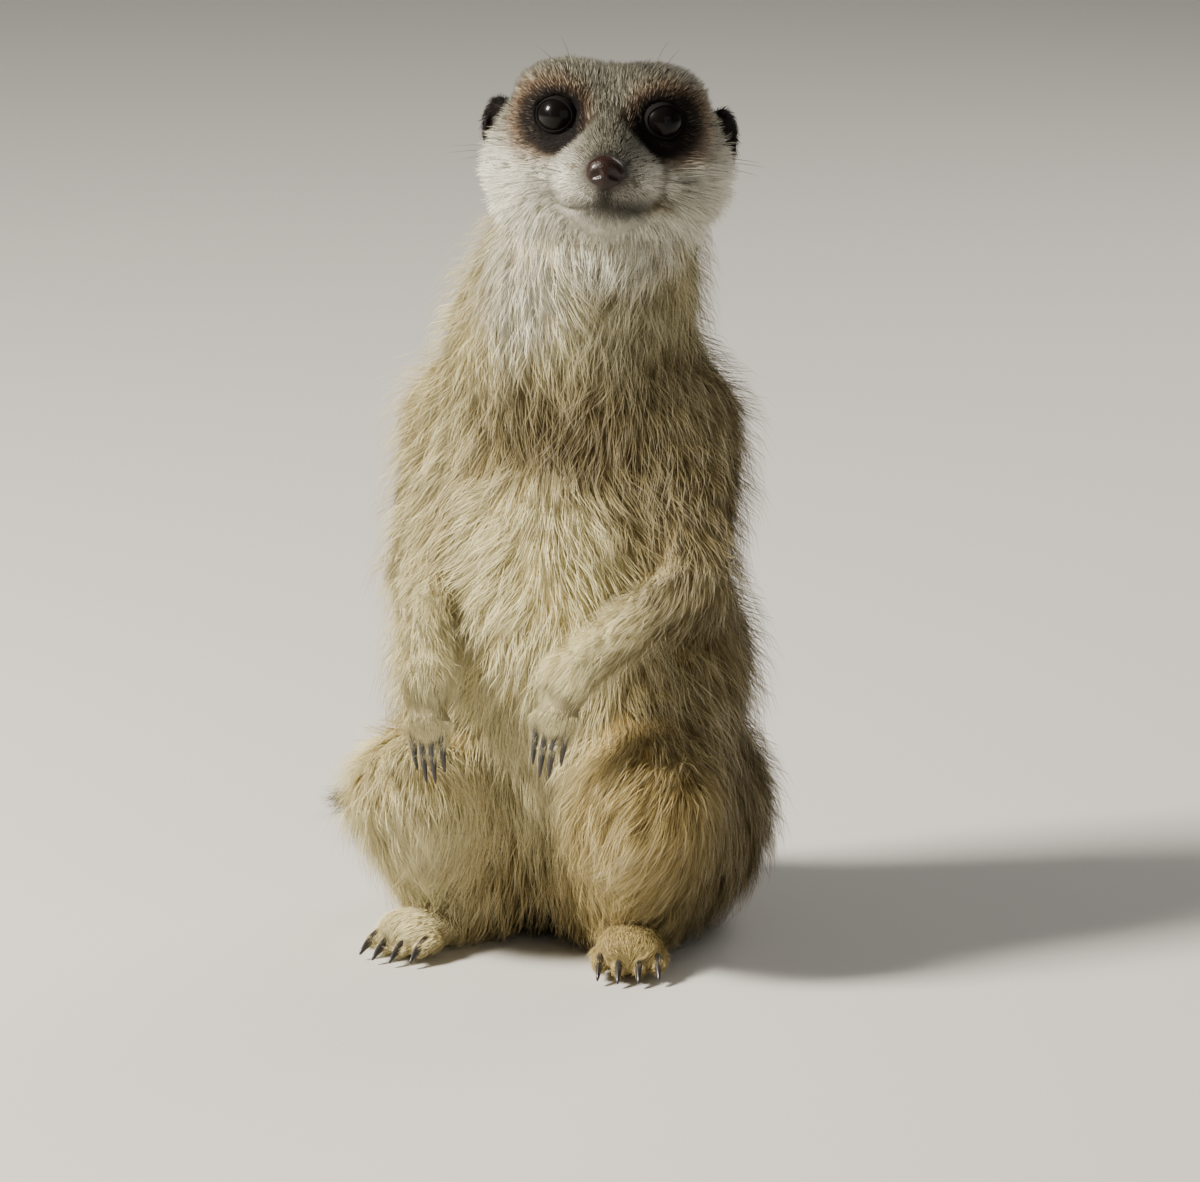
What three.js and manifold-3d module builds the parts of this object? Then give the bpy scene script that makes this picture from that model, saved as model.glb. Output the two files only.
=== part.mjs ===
// A life-size meerkat sitting upright on its haunches: hands hanging in front of the belly, head turned
// to its left, tail laid round on the floor behind it.
//
// Frame: millimetres, +Z up, the animal's chest faces -Y and its left side is +X. The origin lies on the
// floor, in the flat that the animal sits on. Every solid reaches out to the tips of the coat.
//
// How a part is made: its flesh is a list of soft forms (balls and tapering limbs) that melt into each
// other, and its skin is a loft whose rings are found by walking outwards from the part's own axis until
// the melted forms end. Neighbours are then parted with thin cuts, GAP wide.
import * as THREE from 'three';
import { LoftGeometry } from 'three/addons/geometries/LoftGeometry.js';
import { mergeVertices } from 'three/addons/utils/BufferGeometryUtils.js';
import Module from 'manifold-3d';

const manifold = await Module();
manifold.setup();

const v = (x, y, z) => new THREE.Vector3(x, y, z);

// ---------------------------------------------------------------------------------------------------
// Driving dimensions, in millimetres and degrees
// ---------------------------------------------------------------------------------------------------
const GAP = 0.3; // between touching solids
const ROOM = 600; // a block larger than the whole animal, for half-space cuts

const HEAD = {
  centre: v(17, -12, 241), // middle of the brain case
  yaw: 16.5, // towards the animal's left
  pitch: 3.5, // nose up
  roll: 3, // left ear down
  eyeSpacing: 29,
  eyeRadius: 6.2,
  eyeForward: 20,
  eyeUp: 7.4,
  noseForward: 49.5,
  noseDrop: 6.2,
  earOut: 31.6,
};

const SIDES = [
  {
    name: 'left',
    sign: 1,
    shoulder: v(33.5, 8, 154),
    elbow: v(44, -17, 115),
    wrist: v(20, -56, 93),
    knuckles: v(17, -62, 82),
    fingers: v(-0.16, -0.2, -0.96), // the way the fingers and claws hang
    hip: v(22.5, 19, 37),
    knee: v(35, -37, 53),
    ankle: v(23, -8, 17),
    toes: v(31, -36, 7),
  },
  {
    name: 'right',
    sign: -1,
    shoulder: v(-35, 8, 151),
    elbow: v(-39, -15, 113),
    wrist: v(-25.5, -51, 87),
    knuckles: v(-23.5, -56, 76),
    fingers: v(0.06, -0.16, -0.98),
    hip: v(-32, 18, 36),
    knee: v(-35, -35, 49),
    ankle: v(-29, -10, 17),
    toes: v(-36, -36, 7),
  },
];

const ARM = { shoulder: 18, elbow: 12, wrist: 6.9, knuckles: 6.6, palmDepth: 0.85 };
const LEG = { hip: 31.5, knee: 19.5, shin: 19, ankle: 21, heel: 10, toes: 10.5, footDepth: 0.72 };
const DIGITS = 4; // toes on every foot of the species
// How far apart the roots of the digits are, how much of that is lost or won along each millimetre of
// their length, and how much shorter than the two middle ones the outer two are
const FINGER = { length: 7.5, radius: 2.5, spread: 3.1, fan: -0.02, outerLoss: 3.6 };
const TOE = { length: 8.5, radius: 3.5, spread: 5.1, fan: 0.06, outerLoss: 2 };
const HAND_CLAW = { length: 13, radius: 1.6, tip: 0.45, bend: 26 };
const FOOT_CLAW = { length: 10.5, radius: 1.9, tip: 0.5, bend: 34 };

const TAIL = {
  path: [v(-1, 48, 24), v(3, 78, 12), v(-5, 106, 9.2), v(-36, 131, 7.6), v(-76, 131, 6.2), v(-108, 114, 5)],
  radii: [17, 12.5, 10, 8.4, 7, 5.4],
  sink: 0.8, // how far its round underside is flattened by the floor
};

// ---------------------------------------------------------------------------------------------------
// Soft forms: each is a function from a point to its distance outside the form, negative inside
// ---------------------------------------------------------------------------------------------------
const ball = (centre, radii) => (p) => {
  const q = p.clone().sub(centre);
  const near = q.clone().divide(radii).length();
  const steep = q.divide(radii.clone().multiply(radii)).length();
  return steep < 1e-9 ? -Math.min(radii.x, radii.y, radii.z) : (near * (near - 1)) / steep;
};

// A round cone from a to b; depth under 1 flattens it along the direction flat.
const limb = (a, b, ra, rb, flat = v(0, 0, 1), depth = 1) => {
  const along = b.clone().sub(a);
  return (p) => {
    const q = p.clone().sub(a);
    const h = THREE.MathUtils.clamp(q.dot(along) / along.lengthSq(), 0, 1);
    q.addScaledVector(along, -h);
    q.addScaledVector(flat, q.dot(flat) * (1 / depth - 1));
    return q.length() - THREE.MathUtils.lerp(ra, rb, h);
  };
};

const chain = (points, radii) => points.slice(1).map((b, i) => limb(points[i], b, radii[i], radii[i + 1]));

// The union of the forms with a fillet of about the given size wherever two of them meet.
const melt = (forms, fillet) => (p) =>
  forms
    .map((form) => form(p))
    .reduce((a, b) => Math.min(a, b) - Math.max(fillet - Math.abs(a - b), 0) ** 2 / (4 * fillet));

// The field less a form, with a soft rim.
const hollow = (field, form, rim) => (p) => {
  const a = field(p);
  const b = -form(p);
  return Math.max(a, b) + Math.max(rim - Math.abs(a - b), 0) ** 2 / (4 * rim);
};

// ---------------------------------------------------------------------------------------------------
// Lofted skins and thin cuts
// ---------------------------------------------------------------------------------------------------
// The distance from an inside point to the edge of the field, by stepping as far as the field allows.
function reach(field, from, direction, grow) {
  let s = 0;
  for (let step = 0; step < 60; step += 1) {
    const d = field(from.clone().addScaledVector(direction, s)) - grow;
    s -= d * 0.9;
    if (Math.abs(d) < 0.005) break;
  }
  return Math.max(s, 0.05);
}

// A closed skin round the field. The axis runs inside it, and both ends are rounded off to a small cap.
function skinLoft(field, axisPoints, { rings, sides, grow = 0, side = v(1, 0, 0) }) {
  const inner = new THREE.CatmullRomCurve3(axisPoints, false, 'centripetal');
  const tail = inner.getTangent(0).negate();
  const nose = inner.getTangent(1);
  const first = axisPoints[0].clone().addScaledVector(tail, reach(field, axisPoints[0], tail, grow));
  const last = axisPoints.at(-1).clone().addScaledVector(nose, reach(field, axisPoints.at(-1), nose, grow));
  const axis = new THREE.CatmullRomCurve3([first, ...axisPoints, last], false, 'centripetal');
  const sections = [];
  for (let i = 0; i < rings; i += 1) {
    const t = (1 - Math.cos((Math.PI * (i + 0.35)) / (rings - 0.3))) / 2;
    const centre = axis.getPointAt(t);
    const along = axis.getTangentAt(t);
    const across = side.clone().addScaledVector(along, -side.dot(along)).normalize();
    const over = along.clone().cross(across);
    sections.push(
      Array.from({ length: sides }, (_, j) => {
        const angle = (2 * Math.PI * j) / sides;
        const out = across.clone().multiplyScalar(Math.cos(angle)).addScaledVector(over, Math.sin(angle));
        return centre.clone().addScaledVector(out, reach(field, centre, out, grow));
      }),
    );
  }
  return new LoftGeometry(sections, { capStart: true, capEnd: true });
}

function toSolid(geometry) {
  const bare = new THREE.BufferGeometry().setAttribute('position', geometry.getAttribute('position'));
  bare.setIndex(geometry.index);
  const merged = mergeVertices(bare, 1e-4);
  return new manifold.Manifold(
    new manifold.Mesh({
      numProp: 3,
      vertProperties: new Float32Array(merged.attributes.position.array),
      triVerts: new Uint32Array(merged.index.array),
    }),
  );
}

function toGeometry(solid) {
  const mesh = solid.getMesh();
  const geometry = new THREE.BufferGeometry();
  geometry.setAttribute('position', new THREE.BufferAttribute(new Float32Array(mesh.vertProperties), 3));
  geometry.setIndex(new THREE.BufferAttribute(new Uint32Array(mesh.triVerts), 1));
  geometry.computeVertexNormals();
  return geometry;
}

// A cut can leave crumbs beside the part; the part is the largest piece.
const largest = (solid) => solid.decompose().reduce((a, b) => (a.volume() > b.volume() ? a : b));

// A block that fills the side of a plane that its normal points to, GAP / 2 away from it.
function halfSpace(point, normal) {
  const block = new THREE.BoxGeometry(ROOM, ROOM, ROOM).translate(0, 0, ROOM / 2 + GAP / 2);
  const turn = new THREE.Quaternion().setFromUnitVectors(v(0, 0, 1), normal.clone().normalize());
  return toSolid(block.applyQuaternion(turn).translate(point.x, point.y, point.z));
}

const before = (solid, point, normal) => largest(solid.intersect(halfSpace(point, normal.clone().negate())));
const after = (solid, point, normal) => largest(solid.intersect(halfSpace(point, normal)));
const FLOOR = halfSpace(v(0, 0, -GAP / 2), v(0, 0, 1));
const cutAway = (solid, ...cutters) => largest(cutters.reduce((left, cutter) => left.subtract(cutter), solid));

// ---------------------------------------------------------------------------------------------------
// Finishes
// ---------------------------------------------------------------------------------------------------
const finish = (color, roughness) => new THREE.MeshStandardMaterial({ color, roughness, metalness: 0 });
const COAT = finish('#b5a27d', 0.9);
const BELLY = finish('#c9ba93', 0.9);
const FACE = finish('#b9ad95', 0.9);
const DARK_FUR = finish('#2c231c', 0.85);
const EYE = finish('#15100d', 0.08);
const NOSE = finish('#3a2320', 0.45);
const CLAW = finish('#35322f', 0.35);

const meerkat = new THREE.Group();

// Each mesh stands at its own anchor, with its geometry drawn round it.
function addPart(parent, name, solid, anchor, material) {
  const mesh = new THREE.Mesh(toGeometry(solid).translate(-anchor.x, -anchor.y, -anchor.z), material);
  mesh.name = name;
  mesh.position.copy(anchor);
  parent.add(mesh);
  return mesh;
}

// ---------------------------------------------------------------------------------------------------
// Head, in its own upright frame: its middle at the origin and its nose towards -Y
// ---------------------------------------------------------------------------------------------------
const headGroup = new THREE.Group();
headGroup.position.copy(HEAD.centre);
headGroup.rotation.set(
  THREE.MathUtils.degToRad(-HEAD.pitch),
  THREE.MathUtils.degToRad(HEAD.roll),
  THREE.MathUtils.degToRad(HEAD.yaw),
  'ZYX',
);
headGroup.updateMatrixWorld(true);
meerkat.add(headGroup);

const EYES = SIDES.map(({ sign }) => v((sign * HEAD.eyeSpacing) / 2, -HEAD.eyeForward, HEAD.eyeUp));
const pair = (x, y, z, radii) => SIDES.map(({ sign }) => ball(v(sign * x, y, z), radii));

const skull = melt(
  [
    ball(v(0, -1, 2.6), v(31.3, 28, 18.6)), // brain case
    ...pair(13, -12, 13.5, v(14, 13, 9.5)), // brows
    ...pair(18.5, -3, -9.5, v(15, 20, 14)), // cheek ruffs
    limb(v(0, -12, -3), v(0, -42, -7.6), 16.5, 7.6), // muzzle
    ...pair(6.6, -35, -10.5, v(8, 9, 6)), // whisker pads
    limb(v(0, -6, -13), v(0, -34, -17.4), 11.5, 5.6), // lower jaw
  ],
  7,
);
const faceField = EYES.reduce(
  (field, eye) => hollow(field, ball(eye.clone().add(v(Math.sign(eye.x) * 0.3, -9.5, 0)), v(9, 7.5, 8.5)), 6),
  skull,
);
const HEAD_AXIS = [v(0, 20, 0), v(0, 0, 0), v(0, -20, -3), v(0, -42, -9)];

function skullSolid(grow) {
  return toSolid(skinLoft(faceField, HEAD_AXIS, { rings: 20, sides: 26, grow }));
}

const sphereAt = (centre, radii, grow = 0, around = 12, down = 8) =>
  toSolid(
    new THREE.SphereGeometry(1, around, down)
      .rotateX(Math.PI / 2)
      .scale(radii.x + grow, radii.y + grow, radii.z + grow)
      .translate(centre.x, centre.y, centre.z),
  );

const EYE_RADII = v(HEAD.eyeRadius, HEAD.eyeRadius, HEAD.eyeRadius);
const NOSE_CENTRE = v(0, -HEAD.noseForward + 3.6, -HEAD.noseDrop);
const NOSE_RADII = v(5.4, 4.2, 4.3);

// An ear is a low crescent, taller than it is deep, with a scooped front.
const EAR_RADII = v(4.8, 6.2, 8.6);
const earCentre = (sign) => v(sign * HEAD.earOut, 3.6, 1.4);
function earSolid(sign) {
  const outer = sphereAt(earCentre(sign), EAR_RADII, 0, 10, 7);
  const scoop = sphereAt(earCentre(sign).add(v(sign * 2.2, -5, 0)), v(3.2, 4.5, 5.4), 0, 8, 5);
  return outer.subtract(scoop);
}

const headSolid = cutAway(
  skullSolid(0),
  ...EYES.map((eye) => sphereAt(eye, EYE_RADII, GAP)),
  sphereAt(NOSE_CENTRE, NOSE_RADII, GAP),
);
addPart(headGroup, 'head', headSolid, v(0, 0, 0), FACE);
addPart(headGroup, 'nose', sphereAt(NOSE_CENTRE, NOSE_RADII), NOSE_CENTRE, NOSE);
SIDES.forEach(({ name, sign }, i) => {
  addPart(headGroup, `eye_${name}`, sphereAt(EYES[i], EYE_RADII), EYES[i], EYE);
  const ear = cutAway(earSolid(sign), skullSolid(GAP));
  addPart(headGroup, `ear_${name}`, ear, earCentre(sign), DARK_FUR);
});

// What the rest of the body leaves room for, in the body's frame
const headRoom = toSolid(toGeometry(skullSolid(GAP)).applyMatrix4(headGroup.matrixWorld));
const earRoom = SIDES.map(({ sign }) =>
  toSolid(toGeometry(sphereAt(earCentre(sign), EAR_RADII, GAP)).applyMatrix4(headGroup.matrixWorld)),
);

// ---------------------------------------------------------------------------------------------------
// Arms and legs
// ---------------------------------------------------------------------------------------------------
// A claw curves down from its root; bend is the turn of its tip, in degrees.
function clawSolid(root, direction, down, { length, radius, tip, bend }, grow = 0) {
  const RINGS = 4;
  const SECTION_SIDES = 5;
  const side = down.clone().cross(direction).normalize();
  const along = direction.clone().normalize();
  const under = side.clone().cross(along).negate();
  const turn = THREE.MathUtils.degToRad(bend);
  const sections = Array.from({ length: RINGS }, (_, i) => {
    const t = i / (RINGS - 1);
    const angle = turn * t;
    const centre = root
      .clone()
      .addScaledVector(along, (length * Math.sin(angle)) / turn)
      .addScaledVector(under, (length * (1 - Math.cos(angle))) / turn);
    const r = THREE.MathUtils.lerp(radius, tip, t ** 1.4) + grow;
    const over = along.clone().multiplyScalar(-Math.sin(angle)).addScaledVector(under, Math.cos(angle));
    return Array.from({ length: SECTION_SIDES }, (__, j) => {
      const a = (2 * Math.PI * j) / SECTION_SIDES;
      return centre.clone().addScaledVector(side, 0.75 * r * Math.cos(a)).addScaledVector(over, r * Math.sin(a));
    });
  });
  return toSolid(new LoftGeometry(sections, { capStart: true, capEnd: true }));
}

// The digits of a hand or foot, side by side: where each starts, the way it points and where it ends.
function digits(root, direction, across, { length, spread, fan, outerLoss }) {
  return Array.from({ length: DIGITS }, (_, i) => {
    const place = i - (DIGITS - 1) / 2; // -1.5, -0.5, 0.5 or 1.5
    const way = direction.clone().addScaledVector(across, fan * place).normalize();
    const start = root.clone().addScaledVector(across, spread * place);
    const ownLength = length - outerLoss * (Math.abs(place) - 0.5);
    return { start, way, end: start.clone().addScaledVector(way, ownLength) };
  });
}

const digitSolid = ({ start, way, end }, radius, grow) =>
  toSolid(
    skinLoft(limb(start, end, radius * 1.08, radius * 0.86), [start, end.clone().addScaledVector(way, -0.5)], {
      rings: 3,
      sides: 5,
      grow,
      side: v(1, 0, 0),
    }),
  );

function arm(side, grow = 0) {
  const { shoulder, elbow, wrist, knuckles } = side;
  const across = v(1, 0, 0);
  const palm = v(0, -1, 0);
  const field = melt(
    [
      ...chain([shoulder, elbow, wrist], [ARM.shoulder, ARM.elbow, ARM.wrist]),
      limb(wrist, knuckles, ARM.wrist, ARM.knuckles, palm, ARM.palmDepth),
    ],
    5,
  );
  const axis = [shoulder, elbow, wrist.clone().lerp(elbow, 0.12), knuckles];
  const limbSolid = toSolid(skinLoft(field, axis, { rings: 13, sides: 10, grow, side: across }));
  const fingers = digits(knuckles, side.fingers.clone().normalize(), across, FINGER);
  const claws = fingers.map(({ end, way }) => {
    const root = end.clone().addScaledVector(way, -2).add(v(0, -0.4, 0));
    return clawSolid(root, way, v(0, 1, 0), HAND_CLAW, grow);
  });
  const flesh = fingers.reduce((solid, f) => solid.add(digitSolid(f, FINGER.radius, grow)), limbSolid);
  return { flesh, claws };
}

function leg(side, grow = 0) {
  const { hip, knee, ankle, toes } = side;
  const forward = toes.clone().sub(ankle).setZ(0).normalize();
  const across = v(0, 0, 1).cross(forward).negate();
  const heel = ankle.clone().addScaledVector(forward, -4).setZ(7.5);
  const haunch = ball(hip, v(LEG.hip, LEG.hip + 4, LEG.hip + 4));
  const thighField = melt([limb(hip, knee, LEG.hip, LEG.knee), haunch], 6);
  const shinField = limb(knee, ankle, LEG.shin, LEG.ankle);
  const footField = melt([limb(heel, toes, LEG.heel, LEG.toes, v(0, 0, 1), LEG.footDepth)], 4);
  const thigh = toSolid(skinLoft(thighField, [hip, knee], { rings: 9, sides: 11, grow }));
  const shin = toSolid(skinLoft(shinField, [knee, ankle], { rings: 6, sides: 9, grow }));
  const sole = toSolid(skinLoft(footField, [heel, toes], { rings: 5, sides: 7, grow }));
  const toeWay = forward.clone().add(v(0, 0, -0.13)).normalize();
  const toeRoots = digits(toes.clone().add(v(0, 0, -1.6)), toeWay, across, TOE);
  const claws = toeRoots.map(({ end, way }) => {
    const root = end.clone().addScaledVector(way, -2.2).add(v(0, 0, 1.2));
    return clawSolid(root, way, v(0, 0, -1), FOOT_CLAW, grow);
  });
  const foot = toeRoots.reduce((solid, t) => solid.add(digitSolid(t, TOE.radius, grow)), sole);
  return { thigh, shin, foot, claws };
}

const onFloor = (solid) => solid.intersect(FLOOR);
const MIDLINE = v(-1.5, 0, 0); // where the thighs part
const limbs = SIDES.map((side) => ({
  side,
  arm: arm(side),
  armRoom: arm(side, GAP),
  leg: leg(side),
  legRoom: leg(side, GAP),
}));

for (const { side, arm: own, armRoom } of limbs) {
  const { name, shoulder, elbow, wrist, knuckles } = side;
  const atElbow = elbow.clone().sub(shoulder).normalize().add(wrist.clone().sub(elbow).normalize());
  const atWrist = wrist.clone().sub(elbow).normalize().add(knuckles.clone().sub(wrist).normalize());
  const flesh = cutAway(own.flesh, ...armRoom.claws);
  const lower = after(flesh, elbow, atElbow);
  addPart(meerkat, `upper_arm_${name}`, before(flesh, elbow, atElbow), shoulder, COAT);
  addPart(meerkat, `forearm_${name}`, before(lower, wrist, atWrist), elbow, COAT);
  addPart(meerkat, `hand_${name}`, after(lower, wrist, atWrist), wrist, COAT);
  own.claws.forEach((claw, i) => addPart(meerkat, `hand_claw_${name}_${i + 1}`, claw, knuckles, CLAW));
}

for (const { side, leg: own, legRoom, armRoom } of limbs) {
  const { name, hip, knee, ankle, toes } = side;
  const arms = [armRoom.flesh, ...armRoom.claws];
  const ownHalf = v(side.sign, 0, 0);
  addPart(meerkat, `thigh_${name}`, after(cutAway(onFloor(own.thigh), ...arms), MIDLINE, ownHalf), hip, COAT);
  addPart(meerkat, `shin_${name}`, cutAway(onFloor(own.shin), legRoom.thigh, ...arms), knee, COAT);
  const foot = cutAway(onFloor(own.foot), legRoom.thigh, legRoom.shin, ...legRoom.claws);
  addPart(meerkat, `foot_${name}`, foot, ankle, COAT);
  own.claws.forEach((claw, i) => addPart(meerkat, `foot_claw_${name}_${i + 1}`, onFloor(claw), toes, CLAW));
}

// ---------------------------------------------------------------------------------------------------
// Tail, laid on the floor in three lengths
// ---------------------------------------------------------------------------------------------------
const tailPath = TAIL.path.map((p, i) => (i === 0 ? p : p.clone().setZ(TAIL.radii[i] - TAIL.sink)));
function tail(grow = 0) {
  const field = melt(chain(tailPath, TAIL.radii), 4);
  return toSolid(skinLoft(field, tailPath, { rings: 13, sides: 8, grow, side: v(0, 0, 1) }));
}
const tailSolid = cutAway(onFloor(tail()), ...limbs.map(({ legRoom }) => legRoom.thigh));
const tailCut = (i) => [tailPath[i], tailPath[i + 1].clone().sub(tailPath[i - 1])];
const tailBack = after(tailSolid, ...tailCut(2));
addPart(meerkat, 'tail_base', before(tailSolid, ...tailCut(2)), tailPath[0], COAT);
addPart(meerkat, 'tail_middle', before(tailBack, ...tailCut(4)), tailPath[2], COAT);
addPart(meerkat, 'tail_tip', after(tailBack, ...tailCut(4)), tailPath[4], DARK_FUR);

// ---------------------------------------------------------------------------------------------------
// Trunk and neck: one skin from the rump to the throat, parted at the waist and under the neck
// ---------------------------------------------------------------------------------------------------
const trunkField = melt(
  [
    ball(v(-2, 22, 33), v(54, 46, 43)), // rump
    ball(v(0, 6, 84), v(57, 49, 54)), // belly
    ball(v(0, 9, 130), v(50, 43, 46)), // ribs
    ball(v(0, 8, 158), v(46, 36, 31)), // shoulders
    limb(v(1, 5, 180), v(12, -6, 213), 38.5, 32), // neck
  ],
  14,
);
const TRUNK_AXIS = [v(-2, 14, 20), v(-1, 5, 70), v(0, 7, 120), v(1, 8, 160), v(7, 0, 196), v(12, -6, 213)];
const trunkSkin = toSolid(skinLoft(trunkField, TRUNK_AXIS, { rings: 16, sides: 17 }));
const limbRoom = limbs.flatMap(({ armRoom, legRoom }) => [
  armRoom.flesh,
  ...armRoom.claws,
  legRoom.thigh,
  legRoom.shin,
  legRoom.foot,
]);
const trunk = cutAway(onFloor(trunkSkin), ...limbRoom, tail(GAP), headRoom, ...earRoom);
const WAIST = [v(0, 0, 106), v(0, 0, 1)];
const COLLAR = [v(5, 6, 184), v(0.15, -0.2, 1)];
const upper = after(trunk, ...WAIST);
addPart(meerkat, 'belly', before(trunk, ...WAIST), v(0, 0, 0), BELLY);
addPart(meerkat, 'chest', before(upper, ...COLLAR), WAIST[0], BELLY);
addPart(meerkat, 'neck', after(upper, ...COLLAR), COLLAR[0], BELLY);

export default meerkat;
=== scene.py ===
"""A life-size meerkat sitting upright: one skin under a coat of mesh tufts, with its eyes, lids, ears,
nose, whiskers and claws.

Lengths in this file are millimetres unless a name or a property says otherwise, and become metres where
a mesh is made. +Z is up, the animal's chest faces -Y and its left side is +X.
"""

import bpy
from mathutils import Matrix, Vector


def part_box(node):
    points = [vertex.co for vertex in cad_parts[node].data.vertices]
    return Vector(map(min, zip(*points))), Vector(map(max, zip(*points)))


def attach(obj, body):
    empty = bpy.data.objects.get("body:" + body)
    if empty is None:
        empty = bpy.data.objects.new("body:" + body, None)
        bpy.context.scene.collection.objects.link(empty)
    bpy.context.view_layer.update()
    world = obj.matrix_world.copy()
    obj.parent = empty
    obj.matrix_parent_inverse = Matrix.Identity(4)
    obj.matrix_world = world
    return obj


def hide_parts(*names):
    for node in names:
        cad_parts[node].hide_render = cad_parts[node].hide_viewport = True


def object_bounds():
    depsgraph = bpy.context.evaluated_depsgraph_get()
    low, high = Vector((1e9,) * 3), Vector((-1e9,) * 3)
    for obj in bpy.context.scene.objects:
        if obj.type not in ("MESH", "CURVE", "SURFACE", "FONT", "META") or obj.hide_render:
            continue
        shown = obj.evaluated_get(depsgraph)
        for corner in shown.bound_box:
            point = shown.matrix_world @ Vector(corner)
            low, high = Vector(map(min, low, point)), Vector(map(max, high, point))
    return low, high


bl_info = {
    "name": "Sitting Meerkat",
    "version": (1, 0, 0),
    "blender": (4, 5, 0),
    "location": "View3D > Sidebar > Meerkat",
    "description": "Dresses the solids of a sitting meerkat in skin and fur",
    "category": "Add Mesh",
}

from collections import namedtuple

import bpy
import numpy as np
from bpy.props import FloatProperty, FloatVectorProperty, PointerProperty
from bpy.types import Operator, Panel, PropertyGroup
from mathutils import Vector

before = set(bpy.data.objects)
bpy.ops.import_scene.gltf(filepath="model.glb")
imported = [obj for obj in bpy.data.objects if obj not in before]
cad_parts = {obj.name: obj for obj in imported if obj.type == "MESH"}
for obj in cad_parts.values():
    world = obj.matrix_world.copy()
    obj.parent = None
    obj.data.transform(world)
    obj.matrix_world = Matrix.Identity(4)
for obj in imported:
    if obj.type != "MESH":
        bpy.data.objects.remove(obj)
CAD_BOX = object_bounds()

MM = 0.001
BODY = "root"
SIDES = {"left": 1, "right": -1}


def vec(*values):
    """A point or direction as an array."""
    return np.array(values, float)


def centre_of(node):
    """The middle of a solid, in millimetres."""
    low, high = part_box(node)
    return np.array((low + high) / 2) / MM


def norm(vectors):
    """How long the vectors are."""
    return np.linalg.norm(vectors, axis=-1)


def unit(vectors):
    """The vectors at length 1."""
    return vectors / np.maximum(norm(vectors)[..., None], 1e-9)


def tangent(directions, normals):
    """The directions laid flat on the surface with those normals."""
    return unit(directions - (directions * normals).sum(-1, keepdims=True) * normals)


def ramp(values, start, end):
    """0 at start, 1 at end, an S-shaped rise between."""
    t = np.clip((values - start) / (end - start), 0, 1)
    return t * t * (3 - 2 * t)


def circle(count):
    """Equal steps of angle round a circle."""
    return 2 * np.pi * np.arange(count) / count


def noise(points, size, seed):
    """Soft waves about size across, from -1 to 1: a sum of sines in random directions."""
    rng = np.random.default_rng(seed)
    total = np.zeros(len(points))
    for _ in range(6):
        direction = unit(rng.normal(size=3)) * rng.uniform(0.6, 1.5) * 2 * np.pi / size
        total += np.sin(points @ direction + rng.uniform(0, 2 * np.pi))
    return total / 3


# ---- Flesh: soft forms that melt into each other ----
class Ball:
    """An ellipsoid. Its distance is near (near - 1) / steep: near is the radius of the point measured in
    the ball's own radii, and steep is how fast that grows."""

    def __init__(self, centre, radii):
        self.centre, self.radii = vec(*centre), vec(*radii)

    def grown(self, by):
        return Ball(self.centre, self.radii + by)

    def distance(self, points):
        q = points - self.centre
        near = norm(q / self.radii)
        steep = norm(q / self.radii**2)
        return near * (near - 1) / np.maximum(steep, 1e-6)

    def box(self):
        return self.centre - self.radii, self.centre + self.radii


class Limb:
    """A round cone from a to b, flattened to depth along flat. Its distance is the way to the nearest
    point of the line from a to b, less the radius there."""

    def __init__(self, a, b, start, end, flat=(0, 0, 1), depth=1.0):
        self.a, self.b, self.start, self.end = vec(*a), vec(*b), start, end
        self.flat, self.depth = vec(*flat), depth

    def grown(self, by):
        return Limb(self.a, self.b, self.start + by, self.end + by, self.flat, self.depth)

    def distance(self, points):
        along = self.b - self.a
        q = points - self.a
        h = np.clip(q @ along / (along @ along), 0, 1)
        q = q - h[..., None] * along
        q = q + (q @ self.flat)[..., None] * (1 / self.depth - 1) * self.flat
        return norm(q) - (self.start + (self.end - self.start) * h)

    def box(self):
        ends = np.stack([self.a, self.b])
        r = max(self.start, self.end)
        return ends.min(0) - r, ends.max(0) + r


class OnHead:
    """A shape given in the head's own upright frame, where the nose points to -Y."""

    def __init__(self, shape):
        self.shape = shape

    def grown(self, by):
        return OnHead(self.shape.grown(by))

    def distance(self, points):
        return self.shape.distance(to_head(points))

    def box(self):
        corners = from_head(np.array(np.meshgrid(*zip(*self.shape.box()))).reshape(3, -1).T)
        return corners.min(0), corners.max(0)


def melt(a, b, fillet):
    """The union of two fields with a fillet of about that size: the lower of the two, less
    (fillet - gap)^2 / (4 fillet) where they are closer than the fillet."""
    return np.minimum(a, b) - np.maximum(fillet - np.abs(a - b), 0) ** 2 / (4 * fillet)


def hollow(a, b, rim):
    """Field a less form b, with a rim rounded to about that size."""
    return np.maximum(a, -b) + np.maximum(rim - np.abs(a + b), 0) ** 2 / (4 * rim)


def turn_about(axis, angle):
    """The rotation matrix about one of the three axes."""
    c, s = np.cos(angle), np.sin(angle)
    i, j = (axis + 1) % 3, (axis + 2) % 3
    matrix = np.eye(3)
    matrix[i, i] = matrix[j, j] = c
    matrix[i, j], matrix[j, i] = -s, s
    return matrix


# The head's place and turn
HEAD_CENTRE = vec(17, -12, 241)
HEAD_YAW, HEAD_ROLL, HEAD_PITCH = np.radians((16.5, 3.0, 3.5))
HEAD_TURN = turn_about(2, HEAD_YAW) @ turn_about(1, HEAD_ROLL) @ turn_about(0, -HEAD_PITCH)


def to_head(points):
    """Places in the head's own frame."""
    return (points - HEAD_CENTRE) @ HEAD_TURN


def from_head(points):
    """Places in the world from those in the head's frame."""
    return points @ HEAD_TURN.T + HEAD_CENTRE


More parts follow.
